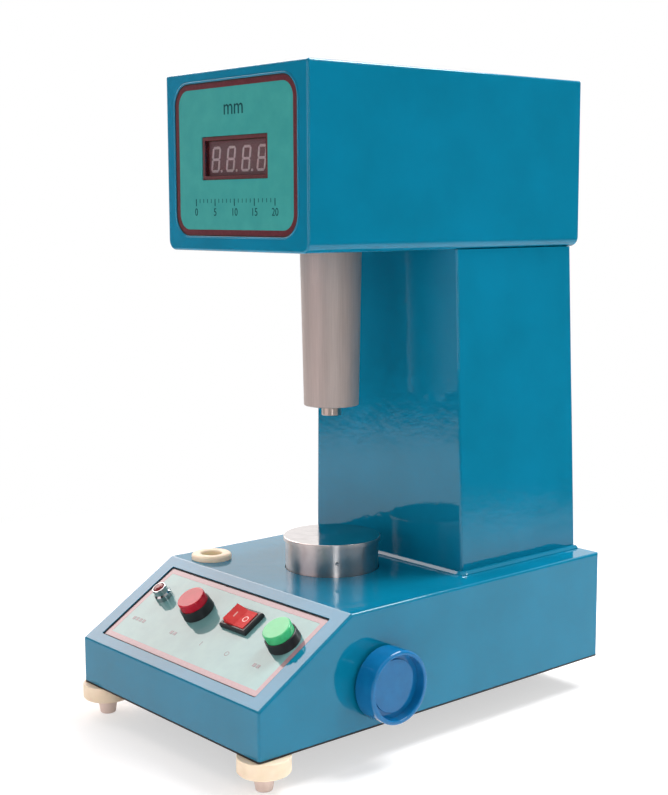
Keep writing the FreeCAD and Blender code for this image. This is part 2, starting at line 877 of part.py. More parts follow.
def make_foot(name, x, y):
    """A levelling foot: a thumb wheel on a threaded stud that turns in a tip on the bench."""
    wheel_top = base_bottom - s.seat_gap
    wheel_bottom = wheel_top - s.wheel_height
    tip_top = wheel_bottom - s.seat_gap

    wheel = new_body(f"{name}_foot_wheel")
    bore = s.foot_thread_radius + s.press_gap
    turn_profile(wheel, [(bore, wheel_bottom), (s.wheel_radius - s.wheel_lead, wheel_bottom),
                         (s.wheel_radius, wheel_bottom + s.wheel_lead), (s.wheel_radius, wheel_top),
                         (bore, wheel_top)])
    round_edges(wheel, s.wheel_edge_radius, on_ring(s.wheel_radius, wheel_top))
    place(wheel, x, y, 0)
    keep(wheel, wheel.Name)

    stud = new_body(f"{name}_foot_stud")
    pivot_bottom = tip_top - s.tip_pivot_depth
    stud_top = base_bottom + s.foot_thread_engaged
    turn_profile(stud, [(0, pivot_bottom), (s.tip_pivot_radius, pivot_bottom),
                        (s.tip_pivot_radius, wheel_bottom), (s.foot_thread_radius, wheel_bottom),
                        (s.foot_thread_radius, stud_top - s.stud_lead),
                        (s.foot_thread_radius - s.stud_lead, stud_top),
                        (0, stud_top)])
    place(stud, x, y, 0)
    keep(stud, stud.Name)

    tip = new_body(f"{name}_foot_tip")
    socket = s.tip_pivot_radius + s.running_gap
    socket_floor = pivot_bottom - s.seat_gap
    turn_profile(tip, [(0, 0), (s.tip_sole_radius, 0), (s.tip_radius, tip_top), (socket, tip_top),
                       (socket, socket_floor), (0, socket_floor)])
    round_edges(tip, s.tip_edge_radius, on_ring(s.tip_sole_radius, 0))
    place(tip, x, y, 0)
    keep(tip, tip.Name)


# ---------------------------------------------------------------- control panel


def make_panel_overlay():
    """A printed sheet laid into the slope's recess."""
    sheet_body = new_body("panel_overlay")
    half = panel_half - s.overlay_gap
    add(sheet_body, "z", -s.panel_recess, overlay_top,
        rectangle(-half, half, s.panel_low + s.overlay_gap, s.panel_high - s.overlay_gap))
    round_edges(sheet_body, s.panel_corner_radius, lambda e: runs_along(e, "z"))
    cut(sheet_body, "z", -s.panel_recess, overlay_top,
        circle(-lamp_x, s.lamp_up, s.lamp_thread_radius + s.hole_gap),
        *[circle(x, s.button_up, s.bezel_thread_radius + s.hole_gap) for x in buttons.values()],
        rectangle(*rocker_footprint(s.hole_gap)))
    on_panel(sheet_body)
    keep(sheet_body, "panel_overlay")


def stand_on_panel(item, x, up):
    """Places a turned piece on the slope with its axis square to it."""
    rise = base_bottom + s.lip_height
    slope_sin = slope_rise / slope_length
    place(item, x, base_front + up * slope_cos, rise + up * slope_sin,
          axis=(1, 0, 0), degrees=slope_degrees)


def make_lamp():
    """A chromed indicator bezel, screwed through the slope, with a tinted lens in its mouth."""
    bezel = new_body("lamp_bezel")
    top = overlay_top + s.lamp_height
    bottom = overlay_top - s.lamp_thread_length
    well = s.lamp_lens_radius + s.running_gap
    collar_top = overlay_top + s.lamp_foot_height
    collar_step = s.lamp_foot_radius - s.lamp_radius
    turn_profile(bezel, [(0, bottom), (s.lamp_thread_radius, bottom),
                         (s.lamp_thread_radius, overlay_top), (s.lamp_foot_radius, overlay_top),
                         (s.lamp_foot_radius, collar_top), (s.lamp_radius, collar_top + collar_step),
                         (s.lamp_radius, top - s.lamp_lead), (s.lamp_radius - s.lamp_lead, top), (well, top),
                         (well, top - s.lamp_lens_sink), (0, top - s.lamp_lens_sink)])
    stand_on_panel(bezel, -lamp_x, s.lamp_up)
    keep(bezel, "lamp_bezel")

    lens = new_body("lamp_lens")
    lens_bottom = top - s.lamp_lens_sink + s.press_gap
    turn_profile(lens, [(0, lens_bottom), (s.lamp_lens_radius, lens_bottom),
                        (s.lamp_lens_radius, top - s.lamp_lens_lead),
                        (s.lamp_lens_crown, top + s.lamp_lens_rise),
                        (0, top + s.lamp_lens_rise)])
    stand_on_panel(lens, -lamp_x, s.lamp_up)
    keep(lens, "lamp_lens")


def make_button_bezel(x):
    """A round bezel with a threaded barrel; the cap sinks into its well."""
    bezel = new_body("button_bezel")
    well = s.cap_radius + s.seat_gap
    bore = s.plunger_radius + s.hole_gap
    top = overlay_top + s.bezel_height
    turn_profile(bezel, [(bore, -s.bezel_depth), (s.bezel_thread_radius, -s.bezel_depth),
                         (s.bezel_thread_radius, overlay_top), (s.bezel_radius + s.bezel_flare, overlay_top),
                         (s.bezel_radius, top - s.bezel_lead),
                         (s.bezel_radius - s.bezel_lead, top), (well, top),
                         (well, cap_well_floor), (bore, cap_well_floor)])
    stand_on_panel(bezel, x, s.button_up)
    return bezel


def make_button_cap(x, color):
    """The pushed cap with its plunger."""
    cap = new_body(f"{color}_button_cap")
    top = overlay_top + s.cap_height
    skirt = cap_well_floor + s.button_travel + s.seat_gap
    turn_profile(cap, [(0, -s.plunger_depth), (s.plunger_radius, -s.plunger_depth),
                       (s.plunger_radius, skirt), (s.cap_radius, skirt),
                       (s.cap_radius, top), (0, top)])
    round_edges(cap, s.cap_edge_radius, on_ring(s.cap_radius, top))
    stand_on_panel(cap, x, s.button_up)
    keep(cap, cap.Name)


def make_button_fixings():
    """Hexagon nuts under the slope and the contact blocks clipped below the bezels."""
    nuts = []
    contacts = []
    for x in buttons.values():
        nut = primitive("Prism", Circumradius=s.button_nut_width / 2, Height=s.button_nut_height)
        nut.Polygon = 6
        bore = primitive("Cylinder", Radius=s.bezel_thread_radius + s.press_gap,
                         Height=s.button_nut_height)
        nut = boolean("Cut", nut, bore)
        nut_drop = -s.base_wall - s.button_nut_height - s.press_gap
        stand_on_panel_at_depth(nut, x, s.button_up, nut_drop)
        nuts.append(nut)
        half = s.contact_width / 2
        block = primitive("Box", Length=s.contact_width, Width=s.contact_width,
                          Height=s.contact_height)
        block_drop = -s.bezel_depth - s.contact_height - s.seat_gap
        stand_on_panel_at_depth(block, x - half, s.button_up - half, block_drop)
        contacts.append(block)
    group("button_nuts", nuts)
    group("button_contacts", contacts)


def stand_on_panel_at_depth(item, x, up, outward):
    """Places a piece on the slope at a distance out along its normal."""
    slope_sin = slope_rise / slope_length
    y = base_front + up * slope_cos - outward * slope_sin
    z = base_bottom + s.lip_height + up * slope_sin + outward * slope_cos
    place(item, x, y, z, axis=(1, 0, 0), degrees=slope_degrees)


def make_rocker_switch():
    """A rocker in its frame: the frame's flange lies on the overlay, the rocker turns on pins."""
    frame_top = overlay_top + s.rocker_frame_height
    pivot = overlay_top - s.rocker_pivot_drop
    frame_half = s.rocker_frame_length / 2
    frame_side = s.rocker_frame_width / 2
    window_side = frame_side - s.rocker_wall
    window_half = s.rocker_body_length / 2 - s.rocker_wall + s.rocker_gap
    rocker_half = window_half - s.rocker_end_gap
    rocker_side = window_side - s.rocker_gap

    frame = new_body("rocker_frame")
    add(frame, "z", -s.rocker_depth, overlay_top,
        rectangle(*rocker_footprint(as_size(0))))
    add(frame, "z", overlay_top, frame_top,
        rectangle(rocker_x - frame_half, rocker_x + frame_half,
                  s.rocker_up - frame_side, s.rocker_up + frame_side))
    round_edges(frame, s.rocker_frame_lead, lambda e: lies_at(e, frame_top), kind="Chamfer")
    cut(frame, "z", -s.rocker_well, frame_top + s.overcut,
        rectangle(rocker_x - window_half, rocker_x + window_half,
                  s.rocker_up - window_side, s.rocker_up + window_side))
    pocket = window_side + s.rocker_pin_pocket
    cut(frame, "y", s.rocker_up - pocket, s.rocker_up + pocket,
        circle(rocker_x, pivot, s.rocker_pin_radius + s.running_gap))
    on_panel(frame)
    keep(frame, "rocker_frame")

    rocker = new_body("rocker")
    rise = s.rocker_saddle + rocker_half * (sine(s.rocker_tilt) / cosine(s.rocker_tilt))
    profile = [
        (-rocker_half, -s.rocker_skirt),
        (rocker_half, -s.rocker_skirt),
        (rocker_half, rise),
        (as_size(0), s.rocker_saddle),
        (-rocker_half, rise),
    ]
    add(rocker, "y", -rocker_side, rocker_side, outline(profile))
    pin_end = rocker_side + s.rocker_gap + s.rocker_pin_pocket - s.rocker_pin_end_gap
    add(rocker, "y", -pin_end, pin_end, circle(0, 0, s.rocker_pin_radius))
    slope_sin = slope_rise / slope_length
    y = base_front + s.rocker_up * slope_cos - pivot * slope_sin
    z = base_bottom + s.lip_height + s.rocker_up * slope_sin + pivot * slope_cos
    lean = f"rotation({vector(1, 0, 0)}; {slope_degrees.formula})"
    tilt = f"rotation({vector(0, 1, 0)}; {s.rocker_tilt.formula})"
    rocker.setExpression("Placement", f"placement({vector(rocker_x, y, z)}; {lean} * {tilt})")
    keep(rocker, "rocker")


def make_level():
    """A bull's-eye level: a ring with a cup that drops into the deck, and its vial."""
    case = new_body("level_case")
    top = deck + s.level_rise
    bottom = deck - s.level_depth
    floor = bottom + s.level_floor
    turn_profile(case, [(0, bottom), (s.level_shank_radius, bottom), (s.level_shank_radius, deck),
                        (s.level_radius, deck), (s.level_radius, top), (s.level_bore_radius, top),
                        (s.level_bore_radius, floor), (0, floor)])
    round_edges(case, s.level_outer_round, on_ring(s.level_radius, top))
    round_edges(case, s.level_inner_round, on_ring(s.level_bore_radius, top))
    place(case, -level_x, -s.level_y, 0)
    keep(case, "level_case")

    vial = new_body("level_vial")
    radius = s.level_bore_radius - s.running_gap
    vial_top = floor + s.vial_height
    turn_profile(vial, [(0, floor), (radius, floor), (radius, vial_top), (0, vial_top)])
    round_edges(vial, s.vial_round, on_ring(radius, vial_top))
    place(vial, -level_x, -s.level_y, 0)
    keep(vial, "level_vial")


# ---------------------------------------------------------------- lift table

guide_screws = [
    (side * (s.guide_flange_width / 2 - s.guide_screw_inset), y)
    for side in (-1, 1)
    for y in (s.guide_screw_inset - s.guide_flange_front, s.guide_flange_rear - s.guide_screw_inset)
]


def make_table():
    """The turned table: a flange that overhangs a skirt, with a threaded boss for the stem."""
    table = new_body("table_top")
    outer = s.table_skirt_radius
    inner = outer - s.table_skirt_wall
    flange_bottom = table_top_z - s.table_flange_height
    ceiling = table_top_z - s.table_top_thickness
    spigot = s.stem_spigot_radius + s.press_gap
    stem_top = table_top_z - s.table_top_thickness - s.stem_drop
    turn_profile(table, [
        (0, table_top_z), (s.table_flange_radius, table_top_z), (s.table_flange_radius, flange_bottom),
        (outer, flange_bottom), (outer, carrier_top), (inner, carrier_top), (inner, ceiling),
        (s.table_boss_radius, ceiling), (s.table_boss_radius, stem_top), (spigot, stem_top),
        (spigot, stem_top + s.stem_spigot_length + s.seat_gap),
        (0, stem_top + s.stem_spigot_length + s.seat_gap)])
    round_edges(table, s.table_edge_round, on_ring(s.table_flange_radius, table_top_z))
    keep(table, "table_top")

    stem = new_body("table_stem")
    stem_bottom = plate_top + s.lift_down + s.stem_foot_gap
    turn_profile(stem, [
        (0, stem_bottom), (s.stem_radius - s.stem_lead, stem_bottom),
        (s.stem_radius, stem_bottom + s.stem_lead),
        (s.stem_radius, stem_top), (s.stem_spigot_radius, stem_top),
        (s.stem_spigot_radius, stem_top + s.stem_spigot_length), (0, stem_top + s.stem_spigot_length)])
    keep(stem, "table_stem")

    carrier = new_body("rack_carrier")
    lug_half = s.carrier_lug_width / 2
    add(carrier, "z", carrier_bottom, carrier_top, circle(0, 0, s.table_skirt_radius))
    add(carrier, "z", carrier_bottom, carrier_top,
        rectangle(-lug_half, lug_half, rack_line - 2 * s.gear_module, 0))
    cut(carrier, "z", carrier_bottom, carrier_top, circle(0, 0, s.stem_radius + s.press_gap))
    keep(carrier, "rack_carrier")


def make_rack():
    """A rack that hangs below the carrier, its teeth towards the pinion in front."""
    rack = new_body("lift_rack")
    half = s.rack_width / 2
    dedendum = s.gear_module + s.gear_tip_gap
    foot_line = rack_line + dedendum
    add(rack, "z", rack_bottom, carrier_bottom, rectangle(-half, half, foot_line, foot_line + s.rack_depth))
    pitch = s.gear_module * math.pi
    slant = Size(math.tan(math.radians(s.pressure_angle.value)),
                 f"tan({s.pressure_angle.formula} * 1deg)")
    thick = pitch / 4 - s.gear_backlash / 4
    tooth = knob_height + pitch / 2
    above = s.gear_module
    teeth_down = math.floor((tooth.value - rack_bottom.value - pitch.value / 2) / pitch.value)
    teeth_up = math.floor((carrier_bottom.value - tooth.value - pitch.value / 2) / pitch.value)
    for i in range(-teeth_down, teeth_up + 1):
        z = tooth + i * pitch
        wide = thick + dedendum * slant
        thin = thick - above * slant
        add(rack, "x", -half, half, outline([
            (foot_line, z - wide), (foot_line, z + wide),
            (rack_line - above, z + thin), (rack_line - above, z - thin)]))
    keep(rack, "lift_rack")


def pinion_outline(module, teeth, backlash, tip_gap, pressure_angle):
    """Points of an involute gear, with a tooth centred on the +X axis."""
    pitch_r = module * teeth / 2
    base_r = pitch_r * math.cos(math.radians(pressure_angle))
    root_r = pitch_r - module - tip_gap
    tip_r = pitch_r + module
    half_tooth = (math.pi * module / 2 - backlash / 2) / 2 / pitch_r

    def involute(radius):
        angle = math.acos(min(1.0, base_r / radius))
        return math.tan(angle) - angle

    flank = []
    steps = 6
    for i in range(steps + 1):
        radius = max(base_r, root_r) + (tip_r - max(base_r, root_r)) * i / steps
        flank.append((radius, half_tooth + involute(pitch_r) - involute(radius)))
    points = []
    for tooth in range(teeth):
        centre = 2 * math.pi * tooth / teeth
        side = [(root_r, flank[0][1])] + flank
        for radius, angle in side:
            points.append((radius, centre - angle))
        for radius, angle in reversed(side):
            points.append((radius, centre + angle))
    return [FreeCAD.Vector(r * math.cos(a), r * math.sin(a), 0) for r, a in points]


def make_pinion():
    """An involute pinion, whose outline is a formula; its axis lies along X."""
    points = pinion_outline(s.gear_module.value, round(s.gear_teeth.value), s.gear_backlash.value,
                            s.gear_tip_gap.value, s.pressure_angle.value)
    width = s.gear_width.value
    wheel = Part.Face(Part.makePolygon(points + points[:1])).extrude(FreeCAD.Vector(0, 0, width))
    bore = Part.makeCylinder((s.shaft_radius + s.press_gap).value, width)
    pinion = doc.addObject("Part::Feature", "pinion")
    pinion.Shape = wheel.cut(bore)
    seat = vector(-s.gear_width / 2, -s.knob_y, knob_height)
    pinion.setExpression("Placement", f"placement({seat}; rotation(vector(1; 1; 1); 120))")
    keep(pinion, "pinion")


def make_stem_guide():
    """A flanged sleeve on the bottom plate, in which the table's stem slides."""
    guide = new_body("stem_guide")
    half = s.guide_flange_width / 2
    add(guide, "z", plate_top, plate_top + s.guide_flange_height,
        rectangle(-half, half, -s.guide_flange_front, s.guide_flange_rear))
    round_edges(guide, s.guide_corner_radius, lambda e: runs_along(e, "z"))
    add(guide, "z", plate_top, plate_top + s.guide_height, circle(0, 0, s.guide_radius))
    cut(guide, "z", plate_top, plate_top + s.guide_height,
        circle(0, 0, s.stem_radius + s.running_gap),
        *[circle(x, y, s.cap_screw_radius + s.press_gap) for x, y in guide_screws])
    keep(guide, "stem_guide")


def make_knob():
    """The side knob with a dished front, its centre cap, its shaft and the shaft's supports."""
    turned = dict(axis=(0, 1, 0), degrees=90)
    back = base_half + s.knob_wall_gap
    bore = s.shaft_radius + s.press_gap
    thick = s.knob_thickness
    dish = thick - s.knob_recess
    knob = new_body("knob")
    hole = s.knob_cap_spigot + s.press_gap
    turn_profile(knob, [
        (bore, 0), (s.knob_radius, 0), (s.knob_radius, thick), (s.knob_rim_radius, thick),
        (s.knob_rim_radius, dish), (hole, dish), (hole, s.shaft_bore_depth), (bore, s.shaft_bore_depth)])
    round_edges(knob, s.knob_edge_radius, on_ring(s.knob_radius, thick))
    round_edges(knob, s.knob_small_radius, on_ring(s.knob_radius, 0))
    round_edges(knob, s.knob_small_radius, on_ring(s.knob_rim_radius, thick))
    place(knob, back, -s.knob_y, knob_height, **turned)
    keep(knob, "knob")

    cap = new_body("knob_cap")
    cap_top = dish + s.knob_cap_thickness
    turn_profile(cap, [
        (0, s.shaft_bore_depth + s.press_gap), (s.knob_cap_spigot, s.shaft_bore_depth + s.press_gap),
        (s.knob_cap_spigot, dish), (s.knob_cap_radius, dish), (s.knob_cap_radius, cap_top), (0, cap_top)])
    round_edges(cap, s.knob_cap_round, on_ring(s.knob_cap_radius, cap_top))
    place(cap, back, -s.knob_y, knob_height, **turned)
    keep(cap, "knob_cap")

    shaft = new_body("knob_shaft")
    left = -s.gear_width / 2 - s.bearing_gap - s.shaft_bearing_reach
    right = back + s.shaft_bore_depth - s.press_gap
    add(shaft, "x", left, right, circle(-s.knob_y, knob_height, s.shaft_radius))
    keep(shaft, "knob_shaft")

    bearing = new_body("shaft_bearing")
    near_face = -s.gear_width / 2 - s.bearing_gap
    half = s.bearing_width / 2
    add(bearing, "x", near_face - s.bearing_length, near_face,
        rectangle(-s.knob_y - half, -s.knob_y + half, plate_top, knob_height + s.bearing_top))
    cut(bearing, "x", near_face - s.bearing_length, near_face,
        circle(-s.knob_y, knob_height, s.shaft_radius + s.running_gap))
    keep(bearing, "shaft_bearing")

    bush = new_body("shaft_bush")
    bush_bore = s.shaft_radius + s.running_gap
    flange = s.bush_flange_thickness
    wall_end = flange + s.base_wall + s.bush_reach
    turn_profile(bush, [
        (bush_bore, 0), (s.bush_flange_radius, 0), (s.bush_flange_radius, flange),
        (s.bush_radius, flange), (s.bush_radius, wall_end), (bush_bore, wall_end)])
    place(bush, inner_half - flange, -s.knob_y, knob_height, **turned)
    keep(bush, "shaft_bush")


# ---------------------------------------------------------------- column


def frustum(body, bottom, top, low, high, radius):
    """A loft between two rounded rectangles, each given as half width, front and rear."""
    sections = []
    for (half, front, rear), height in ((bottom, low), (top, high)):
        sketch = sketch_at(body, "z", height)
        rounded_rectangle(-half, half, front, rear, radius)(sketch)
        sections.append(sketch)
    feature = body.newObject("PartDesign::AdditiveLoft", f"{body.Name}_loft")
    feature.Profile = sections[0]
    feature.Sections = [sections[1]]
    feature.Ruled = True
    return feature


def make_column():
    """A tapered hollow column with a bead round its foot and bolting floors at both ends."""
    block = new_body("column_block")
    bottom = (s.column_bottom_width / 2, s.column_front_bottom, column_rear_bottom)
    top = (s.column_top_width / 2, s.column_front_top, column_rear_top)
    frustum(block, bottom, top, deck, head_bottom, s.column_edge_radius)
    bead_half = s.column_bottom_width / 2 + s.bead_width
    add(block, "z", deck, deck + s.bead_height,
        rectangle(-bead_half, bead_half, s.column_front_bottom - s.bead_width,
                  column_rear_bottom - s.bead_rear_gap))

    def is_bead_corner(edge):
        low = edge.BoundBox.ZMax < (deck + s.bead_height).value + TOLERANCE
        return runs_along(edge, "z") and low and edge.BoundBox.YMax < s.column_front_bottom.value

    round_edges(block, s.column_edge_radius + s.bead_width, is_bead_corner)

    def is_bead_top(edge):
        reach = edge.BoundBox
        side = ((s.column_bottom_width + s.bead_width) / 2).value
        front = reach.YMax < (s.column_front_bottom - s.bead_width / 2).value
        right = reach.XMin > side
        left = reach.XMax < -side
        return lies_at(edge, deck + s.bead_height) and (front or right or left)

    round_edges(block, s.bead_lead, is_bead_top, kind="Chamfer")

    cavity = new_body("column_cavity")
    wall = s.column_wall
    low = deck + s.column_floor
    high = head_bottom - s.column_floor
    frustum(cavity,
            (bottom[0] - wall, bottom[1] + wall, bottom[2] - wall),
            (top[0] - wall, top[1] + wall, top[2] - wall), low, high, s.column_edge_radius)
    duct = rectangle(-s.duct_width / 2, s.duct_width / 2, s.duct_front, s.duct_rear)
    add(cavity, "z", deck - s.overcut, head_bottom + s.overcut, duct)
    for x, y in column_bolts:
        add(cavity, "z", deck - s.overcut, low + s.overcut, circle(x, y, s.bolt_radius + s.press_gap))
        add(cavity, "z", high - s.overcut, head_bottom + s.overcut,
            circle(x, y, s.bolt_radius + s.press_gap))
    keep(boolean("Cut", block, cavity), "column_shell")


def make_column_bolts():
    """Bolts up through the deck into the column's floor, and down through the head's floor."""
    reach = s.bolt_reach
    bolts = []
    for x, y in column_bolts:
        bolts.append(screw((x, y, deck_underside), s.bolt_head_radius, s.bolt_head_height,
                           s.bolt_radius, reach + s.base_wall, DOWNWARD))
        bolts.append(screw((x, y, head_floor), s.bolt_head_radius, s.bolt_head_height,
                           s.bolt_radius, reach + s.head_wall, UPWARD))
    group("column_bolts", bolts)


# ---------------------------------------------------------------- head


def make_head_housing():
    """A box folded from sheet with a sunk display field in front and a hatch in its back."""
    block = new_body("head_block")
    add(block, "z", head_bottom, head_top, rectangle(-head_half, head_half, head_front, head_rear))

    def is_bend_at(height):
        return lambda e: runs_along(e, "y") and lies_at(e, height)

    def is_sharp_edge(edge):
        span = edge.BoundBox
        at_front = near(span.YMin, head_front) and near(span.YMax, head_front)
        at_rear = near(span.YMin, head_rear) and near(span.YMax, head_rear)
        return at_front or at_rear or is_bend_at(head_top)(edge)

    round_edges(block, s.head_bottom_radius, is_bend_at(head_bottom))
    round_edges(block, s.head_edge_radius, is_sharp_edge)
    display_half = s.display_width / 2
    cut(block, "y", head_front, head_front + s.display_recess,
        rectangle(-display_half, display_half, head_bottom + s.display_low, head_bottom + s.display_high))

    def is_display_corner(edge):
        return runs_along(edge, "y") and near(abs(middle(edge).x), display_half)

    round_edges(block, s.display_corner_radius, is_display_corner)
    window_half = s.window_width / 2
    cut(block, "y", head_front, head_front + s.head_front_wall + s.overcut,
        rectangle(-window_half, window_half, head_bottom + s.window_low, head_bottom + s.window_high))
    cut(block, "z", head_bottom, head_floor + s.overcut,
        circle(0, 0, s.barrel_top_radius + s.barrel_hole_gap),
        rectangle(-s.duct_width / 2, s.duct_width / 2, s.duct_front, s.duct_rear),
        *[circle(x, y, s.bolt_radius + s.hole_gap) for x, y in column_bolts],
        *[circle(x, y, s.cap_screw_radius + s.press_gap) for x, y in flange_screws])
    hatch_half = s.hatch_width / 2
    hatch_middle = head_bottom + s.head_height / 2
    cut(block, "y", head_rear - s.head_wall - s.overcut, head_rear,
        rectangle(-hatch_half, hatch_half, hatch_middle - s.hatch_height / 2,
                  hatch_middle + s.hatch_height / 2),
        *[circle(x, z, s.plate_screw_radius + s.press_gap) for x, z in hatch_screws])

    cavity = new_body("head_cavity")
    wall = s.head_wall
    add(cavity, "z", head_floor, head_top - wall,
        rectangle(wall - head_half, head_half - wall, head_front + s.head_front_wall, head_rear - wall))
    round_edges(cavity, s.head_bottom_radius - wall, is_bend_at(head_floor))
    keep(boolean("Cut", block, cavity), "head_housing")


flange_screws = [
    (
        s.flange_screw_circle * math.cos(math.radians(angle)),
        s.flange_screw_circle * math.sin(math.radians(angle)),
    )
    for angle in (45, 135, 225, 315)
]
hatch_screws = [
    (
        side * (s.hatch_width + s.hatch_lap) / 2,
        head_bottom + s.head_height / 2 + level * (s.hatch_height + s.hatch_lap) / 2,
    )
    for side in (-1, 1)
    for level in (-1, 1)
]


def make_rear_hatch():
    """A sheet cover over the opening in the head's back."""
    hatch = new_body("rear_hatch")
    half = s.hatch_width / 2 + s.hatch_lap
    middle_z = head_bottom + s.head_height / 2
    half_height = s.hatch_height / 2 + s.hatch_lap
    outer = head_rear + s.hatch_thickness
    add(hatch, "y", head_rear, outer, rectangle(-half, half, middle_z - half_height, middle_z + half_height))
    round_edges(hatch, s.hatch_corner_radius, lambda e: runs_along(e, "y"))
    cut(hatch, "y", head_rear, outer,
        *[circle(x, z, s.plate_screw_radius + s.hole_gap) for x, z in hatch_screws])
    keep(hatch, "rear_hatch")


def make_cover_screws():
    """Pan screws under the bottom plate and round the head's hatch."""
    head = (s.small_head_radius, s.small_head_height, s.plate_screw_radius)
    screws = []
    for x, y in plate_posts:
        length = s.plate_thickness + s.plate_screw_length
        screws.append(screw((x, y, plate_bottom), *head, length, DOWNWARD))
    for x, z in hatch_screws:
        seat = (x, head_rear + s.hatch_thickness, z)
        screws.append(screw(seat, *head, s.hatch_screw_length, BACKWARD))
    group("cover_screws", screws)


def make_display():
    """The printed field, its red window, the digit block and the board that carries it."""
    field = new_body("display_overlay")
    half = s.display_width / 2 - s.overlay_gap
    low = head_bottom + s.display_low + s.overlay_gap
    high = head_bottom + s.display_high - s.overlay_gap
    back = head_front + s.display_recess
    front = back - s.display_overlay_thickness
    add(field, "y", front, back, rectangle(-half, half, low, high))
    round_edges(field, s.display_corner_radius - s.overlay_gap, lambda e: runs_along(e, "y"))
    window_half = s.window_width / 2
    window_low = head_bottom + s.window_low
    window_high = head_bottom + s.window_high
    cut(field, "y", front, back, rectangle(-window_half, window_half, window_low, window_high))
    keep(field, "display_overlay")

    window = new_body("display_window")
    gap = s.hole_gap
    window_front = front + s.window_sink
    add(window, "y", window_front, window_front + s.window_thickness,
        rectangle(gap - window_half, window_half - gap, window_low + gap, window_high - gap))
    keep(window, "display_window")

    module = new_body("digit_block")
    module_front = head_front + s.module_sink
    board_front = module_front + s.module_depth
    half_width = s.module_width / 2
    half_height = s.module_height / 2
    add(module, "y", module_front, board_front,
        rectangle(-half_width, half_width, window_middle - half_height, window_middle + half_height))
    keep(module, "digit_block")

    board = new_body("display_board")
    board_half = s.display_board_width / 2
    board_high = s.display_board_height / 2
    add(board, "y", board_front, board_front + s.board_thickness,
        rectangle(-board_half, board_half, window_middle - board_high, window_middle + board_high))
    keep(board, "display_board")


def make_power_board():
    """The supply board in the base."""
    board_z = plate_top + standoff_length
    x, y = power_board_x, s.power_board_y
    half_x, half_y = power_board_width / 2, s.power_board_depth / 2
    board = box(x - half_x, x + half_x, y - half_y, y + half_y, board_z, board_z + s.board_thickness)
    keep(board, "power_board")


standoff_length = s.module_sink + s.module_depth - s.head_front_wall


def make_standoffs():
    """Equal pillars behind the display board's corners and under the supply board's."""
    pillars = []
    dx = s.display_board_width / 2 - s.standoff_inset
    dz = s.display_board_height / 2 - s.standoff_inset
    px = power_board_width / 2 - s.standoff_inset
    py = s.power_board_depth / 2 - s.standoff_inset
    for side in (-1, 1):
        for level in (-1, 1):
            pillar = primitive("Cylinder", Radius=s.standoff_radius, Height=standoff_length)
            wall = head_front + s.head_front_wall
            place(pillar, side * dx, wall, window_middle + level * dz, axis=(1, 0, 0), degrees=-90)
            pillars.append(pillar)
            x = power_board_x + side * px
            y = s.power_board_y + level * py
            pillars.append(cylinder(x, y, plate_top, plate_top + standoff_length, s.standoff_radius))
    group("board_standoffs", pillars)


# ---------------------------------------------------------------- barrel


def make_barrel():
    """A tapered sleeve that hangs through the head's floor from a flange."""
    barrel = new_body("barrel")
    bush_hole = s.rod_bush_radius + s.press_gap
    turn_profile(barrel, [
        (bush_hole, barrel_bottom), (s.barrel_bottom_radius, barrel_bottom),
        (s.barrel_top_radius, head_bottom), (s.barrel_top_radius, head_floor),
        (s.barrel_flange_radius, head_floor), (s.barrel_flange_radius, barrel_flange_top),
        (s.barrel_seat_radius, barrel_flange_top), (s.barrel_seat_radius, magnet_seat),
        (s.barrel_bore_radius, magnet_seat), (s.barrel_bore_radius, barrel_inner_floor),
        (bush_hole, barrel_inner_floor)])
    round_edges(barrel, s.barrel_lip_round, on_ring(s.barrel_bottom_radius, barrel_bottom))
    cut(barrel, "z", head_floor, barrel_flange_top,
        *[circle(x, y, s.cap_screw_radius + s.hole_gap) for x, y in flange_screws])
    keep(barrel, "barrel")


def make_rod():
    """The falling rod: a chuck for the cone below, a needle into the sensor above."""
    rod = new_body("cone_rod")
    chuck_top = barrel_bottom - s.seat_gap
    chuck_bottom = chuck_top - s.chuck_length
    thread_top = chuck_bottom + s.cone_thread_depth
    needle_top = armature_bottom + s.needle_length
    turn_profile(rod, [
        (s.cone_thread_radius, chuck_bottom), (s.chuck_radius, chuck_bottom), (s.chuck_radius, chuck_top),
        (s.rod_radius, chuck_top), (s.rod_radius, armature_bottom), (s.needle_radius, armature_bottom),
        (s.needle_radius, needle_top), (0, needle_top), (0, thread_top),
        (s.cone_thread_radius, thread_top)])
    round_edges(rod, s.chuck_round, on_ring(s.chuck_radius, chuck_bottom))
    keep(rod, "cone_rod")

    armature = new_body("armature")
    hole = s.needle_radius + s.press_gap
    turn_profile(armature, [
        (hole, armature_bottom), (s.armature_radius, armature_bottom), (s.armature_radius, armature_top),
        (hole, armature_top)])
    keep(armature, "armature")

    bush = new_body("rod_bush")
    bore = s.rod_radius + s.running_gap
    turn_profile(bush, [
        (bore, barrel_bottom), (s.rod_bush_radius, barrel_bottom), (s.rod_bush_radius, barrel_inner_floor),
        (s.rod_bush_flange_radius, barrel_inner_floor), (s.rod_bush_flange_radius, bush_top),
        (bore, bush_top)])
    keep(bush, "rod_bush")

    buffer_ = new_body("buffer_ring")
    turn_profile(buffer_, [
        (s.rod_radius + s.seat_gap, bush_top), (s.buffer_radius, bush_top), (s.buffer_radius, buffer_top),
        (s.rod_radius + s.seat_gap, buffer_top)])
    keep(buffer_, "buffer_ring")


